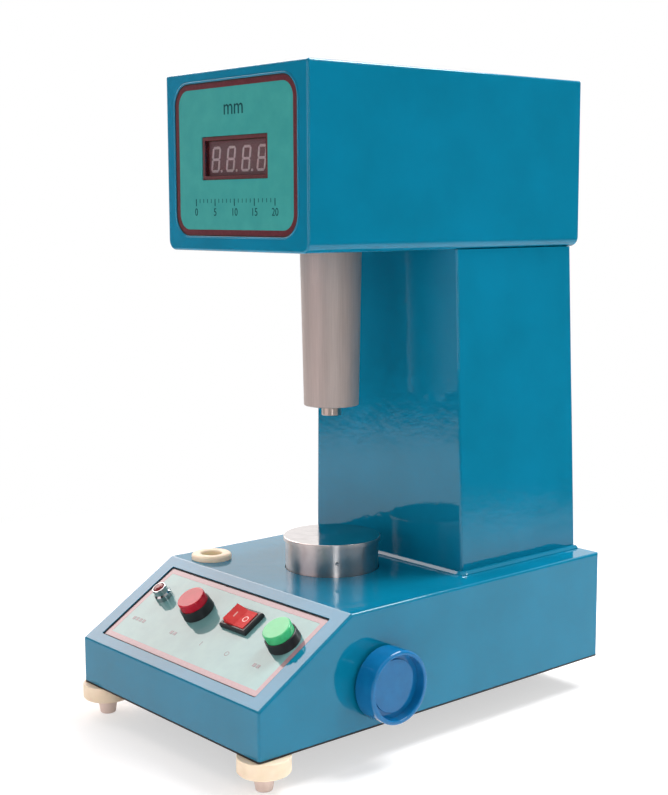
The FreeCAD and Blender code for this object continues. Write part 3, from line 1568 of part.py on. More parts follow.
def make_magnet_and_sensor():
    """The holding magnet on the barrel's shoulder and the displacement sensor above it."""
    core = new_body("magnet_core")
    bore = s.needle_radius + s.seat_gap
    seat_radius = s.barrel_seat_radius - s.running_gap
    turn_profile(core, [
        (bore, pole_bottom), (s.pole_radius, pole_bottom), (s.pole_radius, magnet_seat),
        (seat_radius, magnet_seat), (seat_radius, magnet_top), (bore, magnet_top)])
    keep(core, "magnet_core")

    coil = new_body("magnet_coil")
    inner = s.pole_radius + s.running_gap
    turn_profile(coil, [
        (inner, pole_bottom + s.coil_rise), (s.coil_radius, pole_bottom + s.coil_rise),
        (s.coil_radius, magnet_seat), (inner, magnet_seat)])
    keep(coil, "magnet_coil")

    sensor = new_body("sensor")
    flange_top = barrel_flange_top + s.sensor_flange_height
    sensor_top = magnet_top + s.sensor_length
    turn_profile(sensor, [
        (s.sensor_bore_radius, magnet_top), (s.sensor_radius, magnet_top),
        (s.sensor_radius, barrel_flange_top), (s.barrel_flange_radius, barrel_flange_top),
        (s.barrel_flange_radius, flange_top), (s.sensor_radius, flange_top),
        (s.sensor_radius, sensor_top), (s.sensor_bore_radius, sensor_top)])
    cut(sensor, "z", barrel_flange_top, flange_top,
        *[circle(x, y, s.cap_screw_radius + s.hole_gap) for x, y in flange_screws])
    keep(sensor, "sensor")


def make_cap_screws():
    """Socket screws that hold the barrel and sensor flanges, and the guide on the bottom plate."""
    head = (s.cap_head_radius, s.cap_head_height, s.cap_screw_radius)
    flange_top = barrel_flange_top + s.sensor_flange_height
    screws = []
    for x, y in flange_screws:
        length = s.sensor_flange_height + s.barrel_flange_height + s.head_wall - s.seat_gap
        screws.append(screw((x, y, flange_top), *head, length, UPWARD))
    for x, y in guide_screws:
        seat = (x, y, plate_top + s.guide_flange_height)
        length = s.guide_flange_height + s.plate_thickness
        screws.append(screw(seat, *head, length, UPWARD))
    group("cap_screws", screws)


# ---------------------------------------------------------------- electrical parts


def make_transformer():
    """A laminated core with two windows and the winding on its middle leg."""
    x, y = transformer_x, s.transformer_y
    half_width = s.transformer_width / 2
    half_stack = s.transformer_stack / 2
    bottom = plate_top
    top = plate_top + s.transformer_height
    half_leg = s.transformer_leg / 2
    core = box(x - half_width, x + half_width, y - half_stack, y + half_stack, bottom, top)
    window_low = bottom + s.transformer_yoke
    window_high = top - s.transformer_yoke
    outer_leg = half_width - half_leg
    for side in (-1, 1):
        inner = x + side * half_leg
        outer = x + side * (half_width - s.transformer_yoke)
        low, high = (inner, outer) if side > 0 else (outer, inner)
        window = box(low, high, y - half_stack - s.overcut, y + half_stack + s.overcut,
                     window_low, window_high)
        core = boolean("Cut", core, window)
    keep(core, "transformer_core")

    gap = s.hole_gap
    reach = outer_leg - s.transformer_yoke + half_leg - gap
    bulge = half_stack + s.transformer_coil_bulge
    coil = box(x - reach, x + reach, y - bulge, y + bulge, window_low + gap, window_high - gap)
    leg = box(x - half_leg - gap, x + half_leg + gap, y - half_stack - gap, y + half_stack + gap,
              window_low - s.overcut, window_high + s.overcut)
    keep(boolean("Cut", coil, leg), "transformer_coil")


def make_inlet():
    """The mains inlet in the rear wall, its three blades, and the fuse holder."""
    inlet = new_body("power_inlet")
    outer = base_rear + s.inlet_flange_thickness
    x, z = inlet_x, rear_height
    half_width, half_height = s.inlet_body_width / 2, s.inlet_body_height / 2
    add(inlet, "y", base_rear - s.inlet_body_depth, base_rear,
        rectangle(x - half_width, x + half_width, z - half_height, z + half_height))
    flange_half, flange_high = s.inlet_flange_width / 2, s.inlet_flange_height / 2
    add(inlet, "y", base_rear, outer,
        rectangle(x - flange_half, x + flange_half, z - flange_high, z + flange_high))
    well_half, well_high = s.inlet_well_width / 2, s.inlet_well_height / 2
    chamfer = s.inlet_well_chamfer
    well_floor = outer - s.inlet_well_depth
    cut(inlet, "y", well_floor, outer, outline([
        (x - well_half, z - well_high), (x + well_half, z - well_high),
        (x + well_half, z + well_high - chamfer), (x + well_half - chamfer, z + well_high),
        (x - well_half + chamfer, z + well_high), (x - well_half, z + well_high - chamfer)]))
    keep(inlet, "power_inlet")

    blades = []
    half_pin, half_thick = s.inlet_pin_width / 2, s.inlet_pin_thickness / 2
    for side in (-1, 0, 1):
        px = x + side * s.inlet_pin_pitch
        pz = z - s.inlet_earth_drop / 2 if side else z + s.inlet_earth_drop / 2
        blades.append(box(px - half_thick, px + half_thick, well_floor, well_floor + s.inlet_pin_reach,
                          pz - half_pin, pz + half_pin))
    group("inlet_blades", blades)

    fuse = new_body("fuse_holder")
    turn_profile(fuse, [
        (0, -s.fuse_body_length), (s.fuse_body_radius, -s.fuse_body_length), (s.fuse_body_radius, 0),
        (s.fuse_cap_radius, 0), (s.fuse_cap_radius, s.fuse_cap_length), (0, s.fuse_cap_length)])
    round_edges(fuse, s.fuse_cap_round, on_ring(s.fuse_cap_radius, s.fuse_cap_length))
    slot_half, slot_side = s.fuse_slot_length / 2, s.fuse_slot_width / 2
    cut(fuse, "z", s.fuse_cap_length - s.fuse_slot_depth, s.fuse_cap_length,
        rectangle(-slot_half, slot_half, -slot_side, slot_side))
    place(fuse, -fuse_x, base_rear, rear_height, axis=(1, 0, 0), degrees=-90)
    keep(fuse, "fuse_holder")


# ---------------------------------------------------------------- assembly

make_base_casing()
make_bottom_plate()
for foot_name, (foot_x, foot_y) in feet.items():
    make_foot(foot_name, foot_x, foot_y)
make_panel_overlay()
make_lamp()
for button_color, button_x in buttons.items():
    make_button_cap(button_x, button_color)
group("button_bezels", [make_button_bezel(button_x) for button_x in buttons.values()])
make_button_fixings()
make_rocker_switch()
make_level()
make_table()
make_rack()
make_pinion()
make_stem_guide()
make_knob()
make_column()
make_column_bolts()
make_head_housing()
make_rear_hatch()
make_cover_screws()
make_display()
make_power_board()
make_standoffs()
make_barrel()
make_rod()
make_magnet_and_sensor()
make_cap_screws()
make_transformer()
make_inlet()
doc.recompute()

for item in doc.Objects:
    if "Invalid" in item.State or "Error" in item.State:
        raise RuntimeError(f"{item.Name} failed: {item.State}")
for label, item in parts.items():
    if item.Shape.isNull() or not item.Shape.isValid() or not item.Shape.Solids:
        raise RuntimeError(f"{label} has no valid solid")

os.makedirs("parts", exist_ok=True)
for label, item in parts.items():
    item.Shape.exportStep(f"parts/{label}.step")
print(f"{len(parts)} sub-parts written")
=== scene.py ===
import math

import bpy
from mathutils import Matrix, Vector


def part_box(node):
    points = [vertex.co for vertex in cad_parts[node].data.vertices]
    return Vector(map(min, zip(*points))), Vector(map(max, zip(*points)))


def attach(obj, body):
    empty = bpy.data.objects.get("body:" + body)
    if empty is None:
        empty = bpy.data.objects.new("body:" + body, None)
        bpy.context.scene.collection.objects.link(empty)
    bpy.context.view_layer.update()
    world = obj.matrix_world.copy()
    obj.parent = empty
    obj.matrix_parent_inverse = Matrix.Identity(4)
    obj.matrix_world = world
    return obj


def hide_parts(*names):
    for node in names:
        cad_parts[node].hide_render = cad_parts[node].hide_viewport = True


# Dresses the fall-cone tester: finishes for its CAD nodes, its thin and printed pieces, camera and light.

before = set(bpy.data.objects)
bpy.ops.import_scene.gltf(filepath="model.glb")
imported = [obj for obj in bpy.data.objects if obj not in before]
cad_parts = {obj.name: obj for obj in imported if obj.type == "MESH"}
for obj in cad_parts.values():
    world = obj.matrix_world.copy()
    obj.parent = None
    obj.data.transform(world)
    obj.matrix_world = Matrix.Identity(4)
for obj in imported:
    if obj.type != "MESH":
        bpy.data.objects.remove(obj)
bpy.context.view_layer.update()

MM = 0.001

# ---------------------------------------------------------------- places on the object

BASE_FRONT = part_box("base_casing")[0].y
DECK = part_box("base_casing")[1].z
# the height of the casing's front lip and the depth of its slope, as folded
LIP_TOP = 46 * MM
SLOPE_RUN = 63 * MM
SLOPE_ANGLE = math.atan2(DECK - LIP_TOP, SLOPE_RUN)
SLOPE_PLACE = Matrix.Translation((0, BASE_FRONT, LIP_TOP)) @ Matrix.Rotation(SLOPE_ANGLE, 4, "X")
TO_SLOPE = SLOPE_PLACE.inverted()
# stands a flat piece up, so that its top faces the front
UPRIGHT = Matrix.Rotation(math.radians(90), 4, "X")

INK_THICKNESS = 0.06 * MM


def slope_box(node):
    """Lowest and highest corners of a CAD node in the slope's own frame: across, up and out."""
    corners = [TO_SLOPE @ v.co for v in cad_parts[node].data.vertices]
    low = Vector([min(c[i] for c in corners) for i in range(3)])
    high = Vector([max(c[i] for c in corners) for i in range(3)])
    return low, high


# ---------------------------------------------------------------- materials: the tools


def colour(hex_code):
    """A linear RGBA colour from an sRGB hex value."""
    channels = [int(hex_code[i:i + 2], 16) / 255 for i in (1, 3, 5)]
    linear = [c / 12.92 if c <= 0.04045 else ((c + 0.055) / 1.055) ** 2.4 for c in channels]
    return (*linear, 1.0)


WHITE = colour("#FFFFFF")


def per(millimetres):
    """The texture scale at which one cell of a pattern is that many millimetres."""
    return 1 / (millimetres * MM)


def add_node(tree, kind, inputs=None, **settings):
    """Adds one node, sets it up, and fills or links its inputs."""
    new = tree.nodes.new(kind)
    for name, value in settings.items():
        setattr(new, name, value)
    for socket, value in (inputs or {}).items():
        if isinstance(value, bpy.types.NodeSocket):
            tree.links.new(value, new.inputs[socket])
        else:
            new.inputs[socket].default_value = value
    return new


def new_material(name, **sockets):
    """A material with one Principled shader; returns its tree, shader and object coordinates."""
    material = bpy.data.materials.new(name)
    material.use_nodes = True
    tree = material.node_tree
    shader = tree.nodes["Principled BSDF"]
    for socket, value in sockets.items():
        shader.inputs[socket.replace("_", " ")].default_value = value
    place = add_node(tree, "ShaderNodeTexCoord").outputs["Object"]
    return material, tree, shader, place


CLOUD_LOW = 0.3
CLOUD_HIGH = 0.7
CLOUD_DETAIL = 3.0


def mottle(tree, place, size_mm, dark, light, detail=CLOUD_DETAIL):
    """A cloudy blend of two colours, with clouds of that size."""
    noise = add_node(tree, "ShaderNodeTexNoise", {"Vector": place, "Scale": per(size_mm), "Detail": detail})
    ramp = add_node(tree, "ShaderNodeValToRGB", {"Fac": noise.outputs["Fac"]})
    start, end = ramp.color_ramp.elements
    start.position, start.color = CLOUD_LOW, colour(dark)
    end.position, end.color = CLOUD_HIGH, colour(light)
    return ramp.outputs["Color"]


def spread(tree, place, size_mm, low, high):
    """A cloudy value between two limits, with clouds of that size."""
    noise = add_node(tree, "ShaderNodeTexNoise",
                     {"Vector": place, "Scale": per(size_mm), "Detail": CLOUD_DETAIL})
    reach = add_node(tree, "ShaderNodeMapRange",
                     {"Value": noise.outputs["Fac"], "From Min": CLOUD_LOW, "From Max": CLOUD_HIGH,
                      "To Min": low, "To Max": high})
    return reach.outputs["Result"]


def grain(tree, place, size_mm, depth_mm, detail=2.0, under=None):
    """A normal with bumps of that size and depth, on top of another normal where one is given."""
    noise = add_node(tree, "ShaderNodeTexNoise", {"Vector": place, "Scale": per(size_mm), "Detail": detail})
    inputs = {"Height": noise.outputs["Fac"], "Distance": depth_mm * MM, "Strength": 1.0}
    if under is not None:
        inputs["Normal"] = under
    return add_node(tree, "ShaderNodeBump", inputs).outputs["Normal"]


# the wave texture draws one rib in this many of its units
RIB = math.tau / 20


def ribs(tree, place, pitch_mm, depth_mm, distortion=0.0, direction="X"):
    """Long ribs that far apart: their height between 0 and 1, and their normal."""
    wave = add_node(tree, "ShaderNodeTexWave",
                    {"Vector": place, "Scale": per(pitch_mm) * RIB, "Distortion": distortion},
                    bands_direction=direction)
    height = wave.outputs["Fac"]
    bump = add_node(tree, "ShaderNodeBump", {"Height": height, "Distance": depth_mm * MM, "Strength": 1.0})
    return height, bump.outputs["Normal"]


# ---------------------------------------------------------------- materials: the finishes

# how far wear takes a roughness up or down, as a share of it
WEAR = 0.15


def stoved_enamel():
    """Stoved gloss enamel on sheet steel, sprayed: deep colour, a wet gloss and slight orange peel."""
    material, tree, shader, place = new_material(
        "stoved_enamel_blue", Roughness=0.5, Specular_IOR_Level=0.0,
        Coat_Weight=1.0, Coat_Roughness=0.04, Coat_IOR=1.5)
    tree.links.new(mottle(tree, place, 40, "#067190", "#07789A"), shader.inputs["Base Color"])
    waves = grain(tree, place, 14, 0.13)
    peel = grain(tree, place, 3.2, 0.05, 1.5, waves)
    tree.links.new(peel, shader.inputs["Coat Normal"])
    return material


def powder_coat():
    """Black powder coat on the bottom plate: a fine pebbled satin."""
    material, tree, shader, place = new_material("powder_coat_black", IOR=1.5)
    tree.links.new(mottle(tree, place, 12, "#1B1C1E", "#242628"), shader.inputs["Base Color"])
    tree.links.new(spread(tree, place, 6, 0.42, 0.55), shader.inputs["Roughness"])
    tree.links.new(grain(tree, place, 0.8, 0.05), shader.inputs["Normal"])
    return material


def under_film(name, cloud_mm, dark, light, detail, face_roughness):
    """Dull ink behind clear polycarbonate: the face is glossy and very slightly wavy."""
    material, tree, shader, place = new_material(
        name, Roughness=0.5, Specular_IOR_Level=0.0,
        Coat_Weight=1.0, Coat_Roughness=face_roughness, Coat_IOR=1.58)
    tree.links.new(mottle(tree, place, cloud_mm, dark, light, detail), shader.inputs["Base Color"])
    tree.links.new(grain(tree, place, 5, 0.02), shader.inputs["Coat Normal"])
    return material


def printed_film(name, dark, light):
    """Polycarbonate film printed from behind: even colour, in faint clouds, under a clear glossy face."""
    return under_film(name, 9, dark, light, 5.0, 0.06)


def screen_ink(name, dark, light):
    """Screen-printed ink under the film's gloss: dense colour with the faint grain of the mesh."""
    return under_film(name, 1.5, dark, light, 4.0, 0.07)


def smoked_acrylic():
    """Cast acrylic, smoked red: mostly clear, so the unlit digits show behind a hard gloss."""
    material, tree, shader, place = new_material(
        "smoked_acrylic_red", Roughness=0.06, Specular_IOR_Level=0.0, Alpha=0.24,
        Coat_Weight=1.0, Coat_Roughness=0.03, Coat_IOR=1.49)
    tree.links.new(mottle(tree, place, 15, "#4C1519", "#58191D"), shader.inputs["Base Color"])
    return material


def digit_epoxy():
    """Potting epoxy of the digit modules: warm grey, dull, slightly speckled."""
    material, tree, shader, place = new_material("potting_epoxy_grey", IOR=1.5)
    tree.links.new(mottle(tree, place, 0.6, "#85757A", "#8F7D82", 5.0), shader.inputs["Base Color"])
    tree.links.new(spread(tree, place, 2, 0.5, 0.65), shader.inputs["Roughness"])
    return material


def digit_diffuser():
    """Milky polycarbonate light bars of the unlit digits: pale, with a soft inner scatter."""
    material, tree, shader, place = new_material(
        "milky_polycarbonate", Roughness=0.4, IOR=1.58, Subsurface_Weight=0.2, Subsurface_Scale=0.4 * MM)
    tree.links.new(mottle(tree, place, 2, "#E6DDE2", "#F4EDF0"), shader.inputs["Base Color"])
    return material


def circuit_laminate():
    """Glass-epoxy board under green solder mask: a fine weave, and copper tracks that show through."""
    material, tree, shader, place = new_material(
        "glass_epoxy_green", Roughness=0.35, IOR=1.55, Coat_Weight=0.5, Coat_Roughness=0.15)
    tracks = add_node(tree, "ShaderNodeTexBrick",
                      {"Vector": place, "Color1": colour("#0F5A35"), "Color2": colour("#0C4D2D"),
                       "Mortar": colour("#2E8B57"), "Scale": per(6), "Mortar Size": 0.05})
    tree.links.new(tracks.outputs["Color"], shader.inputs["Base Color"])
    _, weave = ribs(tree, place, 0.9425, 0.02, 1.0)
    tree.links.new(weave, shader.inputs["Normal"])
    return material


def turned_steel(name, dark, light, side_roughness, end_roughness):
    """Stainless steel turned about an upright axis: its rings draw light out upright, its end is lapped."""
    material, tree, shader, place = new_material(
        name, Metallic=1.0, Anisotropic=0.8, Anisotropic_Rotation=0.25)
    tree.links.new(mottle(tree, place, 8, dark, light), shader.inputs["Base Color"])
    around = add_node(tree, "ShaderNodeTangent", direction_type="RADIAL", axis="Z")
    tree.links.new(around.outputs["Tangent"], shader.inputs["Tangent"])
    normal = add_node(tree, "ShaderNodeNewGeometry").outputs["Normal"]
    upward = add_node(tree, "ShaderNodeSeparateXYZ", {"Vector": normal}).outputs["Z"]
    rings = add_node(tree, "ShaderNodeMapping", {"Vector": place, "Scale": (0.04, 0.04, 1.0)})
    worn = spread(tree, rings.outputs["Vector"], 1.2,
                  side_roughness * (1 - WEAR), side_roughness * (1 + WEAR))
    polish = add_node(tree, "ShaderNodeMapRange",
                      {"Value": upward, "From Min": 0.9, "From Max": 0.98,
                       "To Min": worn, "To Max": end_roughness})
    tree.links.new(polish.outputs["Result"], shader.inputs["Roughness"])
    return material


def ground_steel():
    """Mild steel, milled and ground, lightly oiled: straight fine scratches and a dull shine."""
    material, tree, shader, place = new_material("ground_mild_steel", Metallic=1.0)
    mapping = add_node(tree, "ShaderNodeMapping", {"Vector": place, "Scale": (1.0, 0.06, 1.0)})
    lines = mapping.outputs["Vector"]
    tree.links.new(mottle(tree, lines, 0.5, "#8C8D90", "#A9AAAD"), shader.inputs["Base Color"])
    tree.links.new(spread(tree, lines, 0.6, 0.28, 0.42), shader.inputs["Roughness"])
    return material


def rubbed_aluminium():
    """Machined aluminium, rubbed lengthways and dulled by its oxide: warm grey satin, upright streaks."""
    material, tree, shader, place = new_material("rubbed_aluminium", Metallic=0.8)
    mapping = add_node(tree, "ShaderNodeMapping", {"Vector": place, "Scale": (1.0, 1.0, 0.02)})
    streaks = mapping.outputs["Vector"]
    tree.links.new(mottle(tree, streaks, 0.9, "#C0B2AD", "#C9BBB6"), shader.inputs["Base Color"])
    tree.links.new(spread(tree, streaks, 0.7, 0.50, 0.60), shader.inputs["Roughness"])
    tree.links.new(grain(tree, streaks, 0.5, 0.008, 3.0), shader.inputs["Normal"])
    return material


def plain_metal(name, cloud_mm, dark, light, wear_mm, low, high):
    """Bright metal: faint clouds in its colour, and a shine that wear dulls between two limits."""
    material, tree, shader, place = new_material(name, Metallic=1.0)
    tree.links.new(mottle(tree, place, cloud_mm, dark, light), shader.inputs["Base Color"])
    tree.links.new(spread(tree, place, wear_mm, low, high), shader.inputs["Roughness"])
    return material


def zinc_plate():
    """Bright zinc plate on screws and studs: bluish silver with a faint bloom."""
    return plain_metal("zinc_plated_steel", 2, "#B9BCC0", "#CFD2D3", 1.5, 0.2, 0.34)


def chrome_plate():
    """Chromium plate on turned brass: a near mirror."""
    return plain_metal("chromium_plate", 4, "#B4B8BC", "#C4C8CA", 3, 0.05, 0.1)


def turned_brass():
    """Free-cutting brass as turned: warm yellow with slight tarnish clouds."""
    return plain_metal("turned_brass", 3, "#B5924C", "#CBA75C", 2, 0.25, 0.38)


def nitrile_rubber():
    """Nitrile rubber, moulded: black, matt, with a dusty bloom."""
    material, tree, shader, place = new_material("nitrile_rubber", IOR=1.52)
    tree.links.new(mottle(tree, place, 2, "#191919", "#242322"), shader.inputs["Base Color"])
    tree.links.new(spread(tree, place, 2, 0.7, 0.85), shader.inputs["Roughness"])
    return material


def ribbed_winding(name, pitch_mm, depth_mm, direction, dark, light, **sockets):
    """Layers that far apart under varnish: dark in the grooves and light on the crests."""
    material, tree, shader, place = new_material(name, IOR=1.5, **sockets)
    height, normal = ribs(tree, place, pitch_mm, depth_mm, direction=direction)
    tint = add_node(tree, "ShaderNodeValToRGB", {"Fac": height})
    groove, crest = tint.color_ramp.elements
    groove.color = colour(dark)
    crest.color = colour(light)
    tree.links.new(tint.outputs["Color"], shader.inputs["Base Color"])
    tree.links.new(normal, shader.inputs["Normal"])
    return material


def enamelled_wire():
    """Enamelled copper wire: glossy reddish ridges, twice as coarse as the 0.6 mm wire so they show."""
    return ribbed_winding("enamelled_copper_wire", 1.184, 0.15, "Z", "#5C2513", "#B5602F",
                          Metallic=0.6, Roughness=0.3)


def stacked_laminations():
    """Silicon steel sheets in varnish: fine dark lines, twice as coarse as 0.5 mm sheets so they show."""
    return ribbed_winding("varnished_laminations", 0.987, 0.08, "Y", "#2B2A2A", "#55524F",
                          Metallic=0.5, Roughness=0.45)


def moulded_plastic(name, dark, light, roughness, grain_depth=0.01, coat=0.0, scatter=0.0):
    """Injection-moulded plastic: even colour, faint flow clouds and the tool's fine grain."""
    material, tree, shader, place = new_material(
        name, IOR=1.53, Specular_IOR_Level=0.0 if coat else 0.5, Coat_Weight=coat, Coat_Roughness=0.06,
        Subsurface_Weight=scatter, Subsurface_Scale=1.5 * MM)
    tree.links.new(mottle(tree, place, 7, dark, light), shader.inputs["Base Color"])
    worn = spread(tree, place, 3, roughness * (1 - WEAR), roughness * (1 + WEAR))
    tree.links.new(worn, shader.inputs["Roughness"])
    tree.links.new(grain(tree, place, 1.1, grain_depth), shader.inputs["Normal"])
    return material


def spirit_vial():
    """Clear acrylic vial filled with yellow-green spirit: a see-through tint under a hard gloss."""
    material, tree, shader, place = new_material(
        "acrylic_vial_spirit", Roughness=0.04, Specular_IOR_Level=0.0, Alpha=0.5,
        Coat_Weight=1.0, Coat_Roughness=0.03)
    tree.links.new(mottle(tree, place, 8, "#C7CC5E", "#D6DA70"), shader.inputs["Base Color"])
    return material


def air_bubble():
    """The vial's air bubble: nearly clear, with a bright skin."""
    material, tree, shader, place = new_material(
        "air_bubble_skin", Roughness=0.1, Alpha=0.4, Coat_Weight=1.0, Coat_Roughness=0.02)
    tree.links.new(mottle(tree, place, 3, "#E9ECC4", "#F6F8DE"), shader.inputs["Base Color"])
    return material


FINISHES = {
    "enamel": stoved_enamel(),
    "powder_coat": powder_coat(),
    "display_film": printed_film("printed_polycarbonate_teal", "#389290", "#409A96"),
    # the panel film's pale grey-teal is its print lightened by painted reflection of the overhead light
    "panel_film_and_painted_glare": printed_film("printed_polycarbonate_and_painted_glare", "#6C999A", "#74A1A0"),
    "maroon_ink": screen_ink("screen_ink_maroon", "#582A30", "#623238"),
    "umber_ink": screen_ink("screen_ink_umber", "#573436", "#633C3E"),
    # the border ink is dark; its pale rose is partly painted reflection
    "border_ink_and_painted_glare": screen_ink("screen_ink_border_and_painted_glare", "#94747A", "#9C7C82"),
    "dark_ink": screen_ink("screen_ink_dark", "#123B40", "#17444A"),
    "faded_ink": screen_ink("screen_ink_faded", "#5A5A62", "#66666E"),
    "white_ink": screen_ink("screen_ink_white", "#D89C96", "#E2AAA4"),
    "acrylic": smoked_acrylic(),
    "epoxy": digit_epoxy(),
    "diffuser": digit_diffuser(),
    "laminate": circuit_laminate(),
    "table_steel": turned_steel("turned_stainless_steel", "#C9C1BF", "#D8D0CE", 0.34, 0.09),
    "rod_steel": turned_steel("ground_stainless_rod", "#C6B6AD", "#D3C4BC", 0.35, 0.35),
    "ground_steel": ground_steel(),
    "zinc": zinc_plate(),
    "aluminium": rubbed_aluminium(),
    "chrome": chrome_plate(),
    "brass": turned_brass(),
    "rubber": nitrile_rubber(),
    "copper": enamelled_wire(),
    "laminations": stacked_laminations(),
    "blue_abs": moulded_plastic("moulded_abs_blue", "#0C689E", "#1070A8", 0.35, coat=1.0),
    "red_acrylic": moulded_plastic("moulded_acrylic_red", "#B4142C", "#C21A34", 0.3,
                                   coat=0.8, scatter=0.15),
    "green_acrylic": moulded_plastic("moulded_acrylic_green", "#3CB070", "#46BA7A", 0.3,
                                     coat=1.0, scatter=0.15),
    "red_rocker": moulded_plastic("moulded_polycarbonate_red", "#C92A2A", "#D13230", 0.75),
    "lens": moulded_plastic("moulded_lens_red", "#6E1219", "#84161E", 0.1, coat=1.0),
    "black_nylon": moulded_plastic("moulded_nylon_black", "#17171A", "#202024", 0.4, grain_depth=0.02),
    "cream_nylon": moulded_plastic("moulded_nylon_cream", "#F2DCBF", "#FAE6CB", 0.45, scatter=0.1),
    "tip_rubber": moulded_plastic("moulded_elastomer_mauve", "#E4CEC4", "#EBD7CE", 0.6, grain_depth=0.03),
    "vial": spirit_vial(),
    "air": air_bubble(),
}

NODE_FINISHES = {
    "enamel": ("base_casing", "column_shell", "head_housing", "rear_hatch"),
    "powder_coat": ("bottom_plate",),
    "display_film": ("display_overlay",),
    "panel_film_and_painted_glare": ("panel_overlay",),
    "acrylic": ("display_window",),
    "epoxy": ("digit_block",),
    "laminate": ("display_board", "power_board"),
    "table_steel": ("table_top", "table_stem"),
    "rod_steel": ("cone_rod",),
    "ground_steel": ("knob_shaft", "rack_carrier", "lift_rack", "pinion", "armature", "magnet_core",
                     "board_standoffs"),
    "zinc": ("cover_screws", "column_bolts", "cap_screws",
             "front_left_foot_stud", "front_right_foot_stud", "rear_foot_stud"),
    "aluminium": ("barrel", "stem_guide", "shaft_bearing", "sensor"),
    "chrome": ("lamp_bezel",),
    "brass": ("shaft_bush", "rod_bush", "inlet_blades", "button_nuts"),
    "rubber": ("buffer_ring",),
    "copper": ("magnet_coil", "transformer_coil"),
    "laminations": ("transformer_core",),
    "blue_abs": ("knob", "knob_cap"),
    "red_acrylic": ("red_button_cap",),
    "green_acrylic": ("green_button_cap",),
    "red_rocker": ("rocker",),
    "lens": ("lamp_lens",),
    "black_nylon": ("button_bezels", "button_contacts", "rocker_frame", "power_inlet", "fuse_holder"),
    "cream_nylon": ("front_left_foot_wheel", "front_right_foot_wheel", "rear_foot_wheel", "level_case"),
    "tip_rubber": ("front_left_foot_tip", "front_right_foot_tip", "rear_foot_tip"),
    "vial": ("level_vial",),
}


def dress(piece, finish):
    """Gives a piece one finish all over."""
    piece.data.materials.clear()
    piece.data.materials.append(FINISHES[finish])


for finish, nodes in NODE_FINISHES.items():
    for node in nodes:
        dress(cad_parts[node], finish)

# ---------------------------------------------------------------- modelling: the tools


def deselect():
    """Clears the selection, so that an operator acts only on what is made next."""
    bpy.ops.object.select_all(action="DESELECT")


def select_only(piece):
    """Selects one piece and makes it the active one."""
    deselect()
    piece.select_set(True)
    bpy.context.view_layer.objects.active = piece


def apply_place():
    """Puts the selected piece's place, turn and size into its mesh."""
    bpy.ops.object.transform_apply(location=True, rotation=True, scale=True)


def finish_piece(piece, name, body, finish, place):
    """Names, places, dresses and mounts a finished piece, whose object ends at the origin."""
    piece.name = name
    piece.data.name = name
    select_only(piece)
    piece.matrix_world = place @ piece.matrix_world
    apply_place()
    dress(piece, finish)
    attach(piece, body)


def join(pieces):
    """Joins separate meshes into one piece."""
    select_only(pieces[0])
    for piece in pieces:
        piece.select_set(True)
    bpy.ops.object.join()
    return bpy.context.object


def copies(pattern, places):
    """Copies of a pattern, each with its own mesh, one at each place. The pattern itself goes."""
    pieces = []
    for place in places:
        piece = bpy.data.objects.new(pattern.name, pattern.data.copy())
        bpy.context.scene.collection.objects.link(piece)
        piece.matrix_world = place
        pieces.append(piece)
    bpy.data.objects.remove(pattern)
    return pieces


def raise_face(height):
    """Extrudes the flat faces in edit mode into a closed solid, and leaves edit mode."""
    bpy.ops.mesh.select_all(action="SELECT")
    bpy.ops.mesh.extrude_region_move(TRANSFORM_OT_translate={"value": (0, 0, height)})
    bpy.ops.mesh.select_all(action="SELECT")
    bpy.ops.mesh.normals_make_consistent(inside=False)
    bpy.ops.object.mode_set(mode="OBJECT")


def plate(low, high, height, radius=0.0, steps=1):
    """A flat plate between two corners, on z = 0: a face, its corners rounded, extruded up."""
    deselect()
    middle = ((low[0] + high[0]) / 2, (low[1] + high[1]) / 2, 0)
    bpy.ops.mesh.primitive_plane_add(size=1, location=middle)
    piece = bpy.context.object
    piece.scale = (high[0] - low[0], high[1] - low[1], 1)
    apply_place()
    bpy.ops.object.mode_set(mode="EDIT")
    if radius:
        bpy.ops.mesh.select_all(action="SELECT")
        bpy.ops.mesh.bevel(offset=radius, segments=steps, affect="VERTICES", profile=0.5)
    raise_face(height)
    return piece


def centred_plate(width, depth, height, radius, steps=1):
    """A flat plate of that size about the origin, with its corners cut or rounded."""
    return plate((-width / 2, -depth / 2), (width / 2, depth / 2), height, radius, steps)


FRAME_CORNER_STEPS = 10


def move_in(corners, margin):
    """The two corners of a rectangle, moved inwards by a margin."""
    low, high = corners
    return (low[0] + margin, low[1] + margin), (high[0] - margin, high[1] - margin)


def flat_frame(corners, width, height, radius, inner_radius):
    """A flat frame: a rounded plate with a rounded hole cut through it."""
    outer = plate(*corners, height, radius, FRAME_CORNER_STEPS)
    hole = plate(*move_in(corners, width), 3 * height, inner_radius, FRAME_CORNER_STEPS)
    hole.location.z = -height
    cutter = outer.modifiers.new("hole", "BOOLEAN")
    cutter.operation = "DIFFERENCE"
    cutter.solver = "EXACT"
    cutter.object = hole
    select_only(outer)
    bpy.ops.object.modifier_apply(modifier="hole")
    bpy.data.objects.remove(hole)
    return outer


RING_SIDES = 48


def ring(outer, width, height):
    """A flat ring: a filled circle, inset by the ring's width and emptied, then extruded."""
    deselect()
    bpy.ops.mesh.primitive_circle_add(vertices=RING_SIDES, radius=outer, fill_type="NGON")
    piece = bpy.context.object
    bpy.ops.object.mode_set(mode="EDIT")
    bpy.ops.mesh.select_mode(type="FACE")
    bpy.ops.mesh.select_all(action="SELECT")
    bpy.ops.mesh.inset(thickness=width)
    bpy.ops.mesh.delete(type="FACE")
    raise_face(height)
    return piece


# a face looks outwards where its normal has this much of the outward direction
FACING_OUT = 0.8


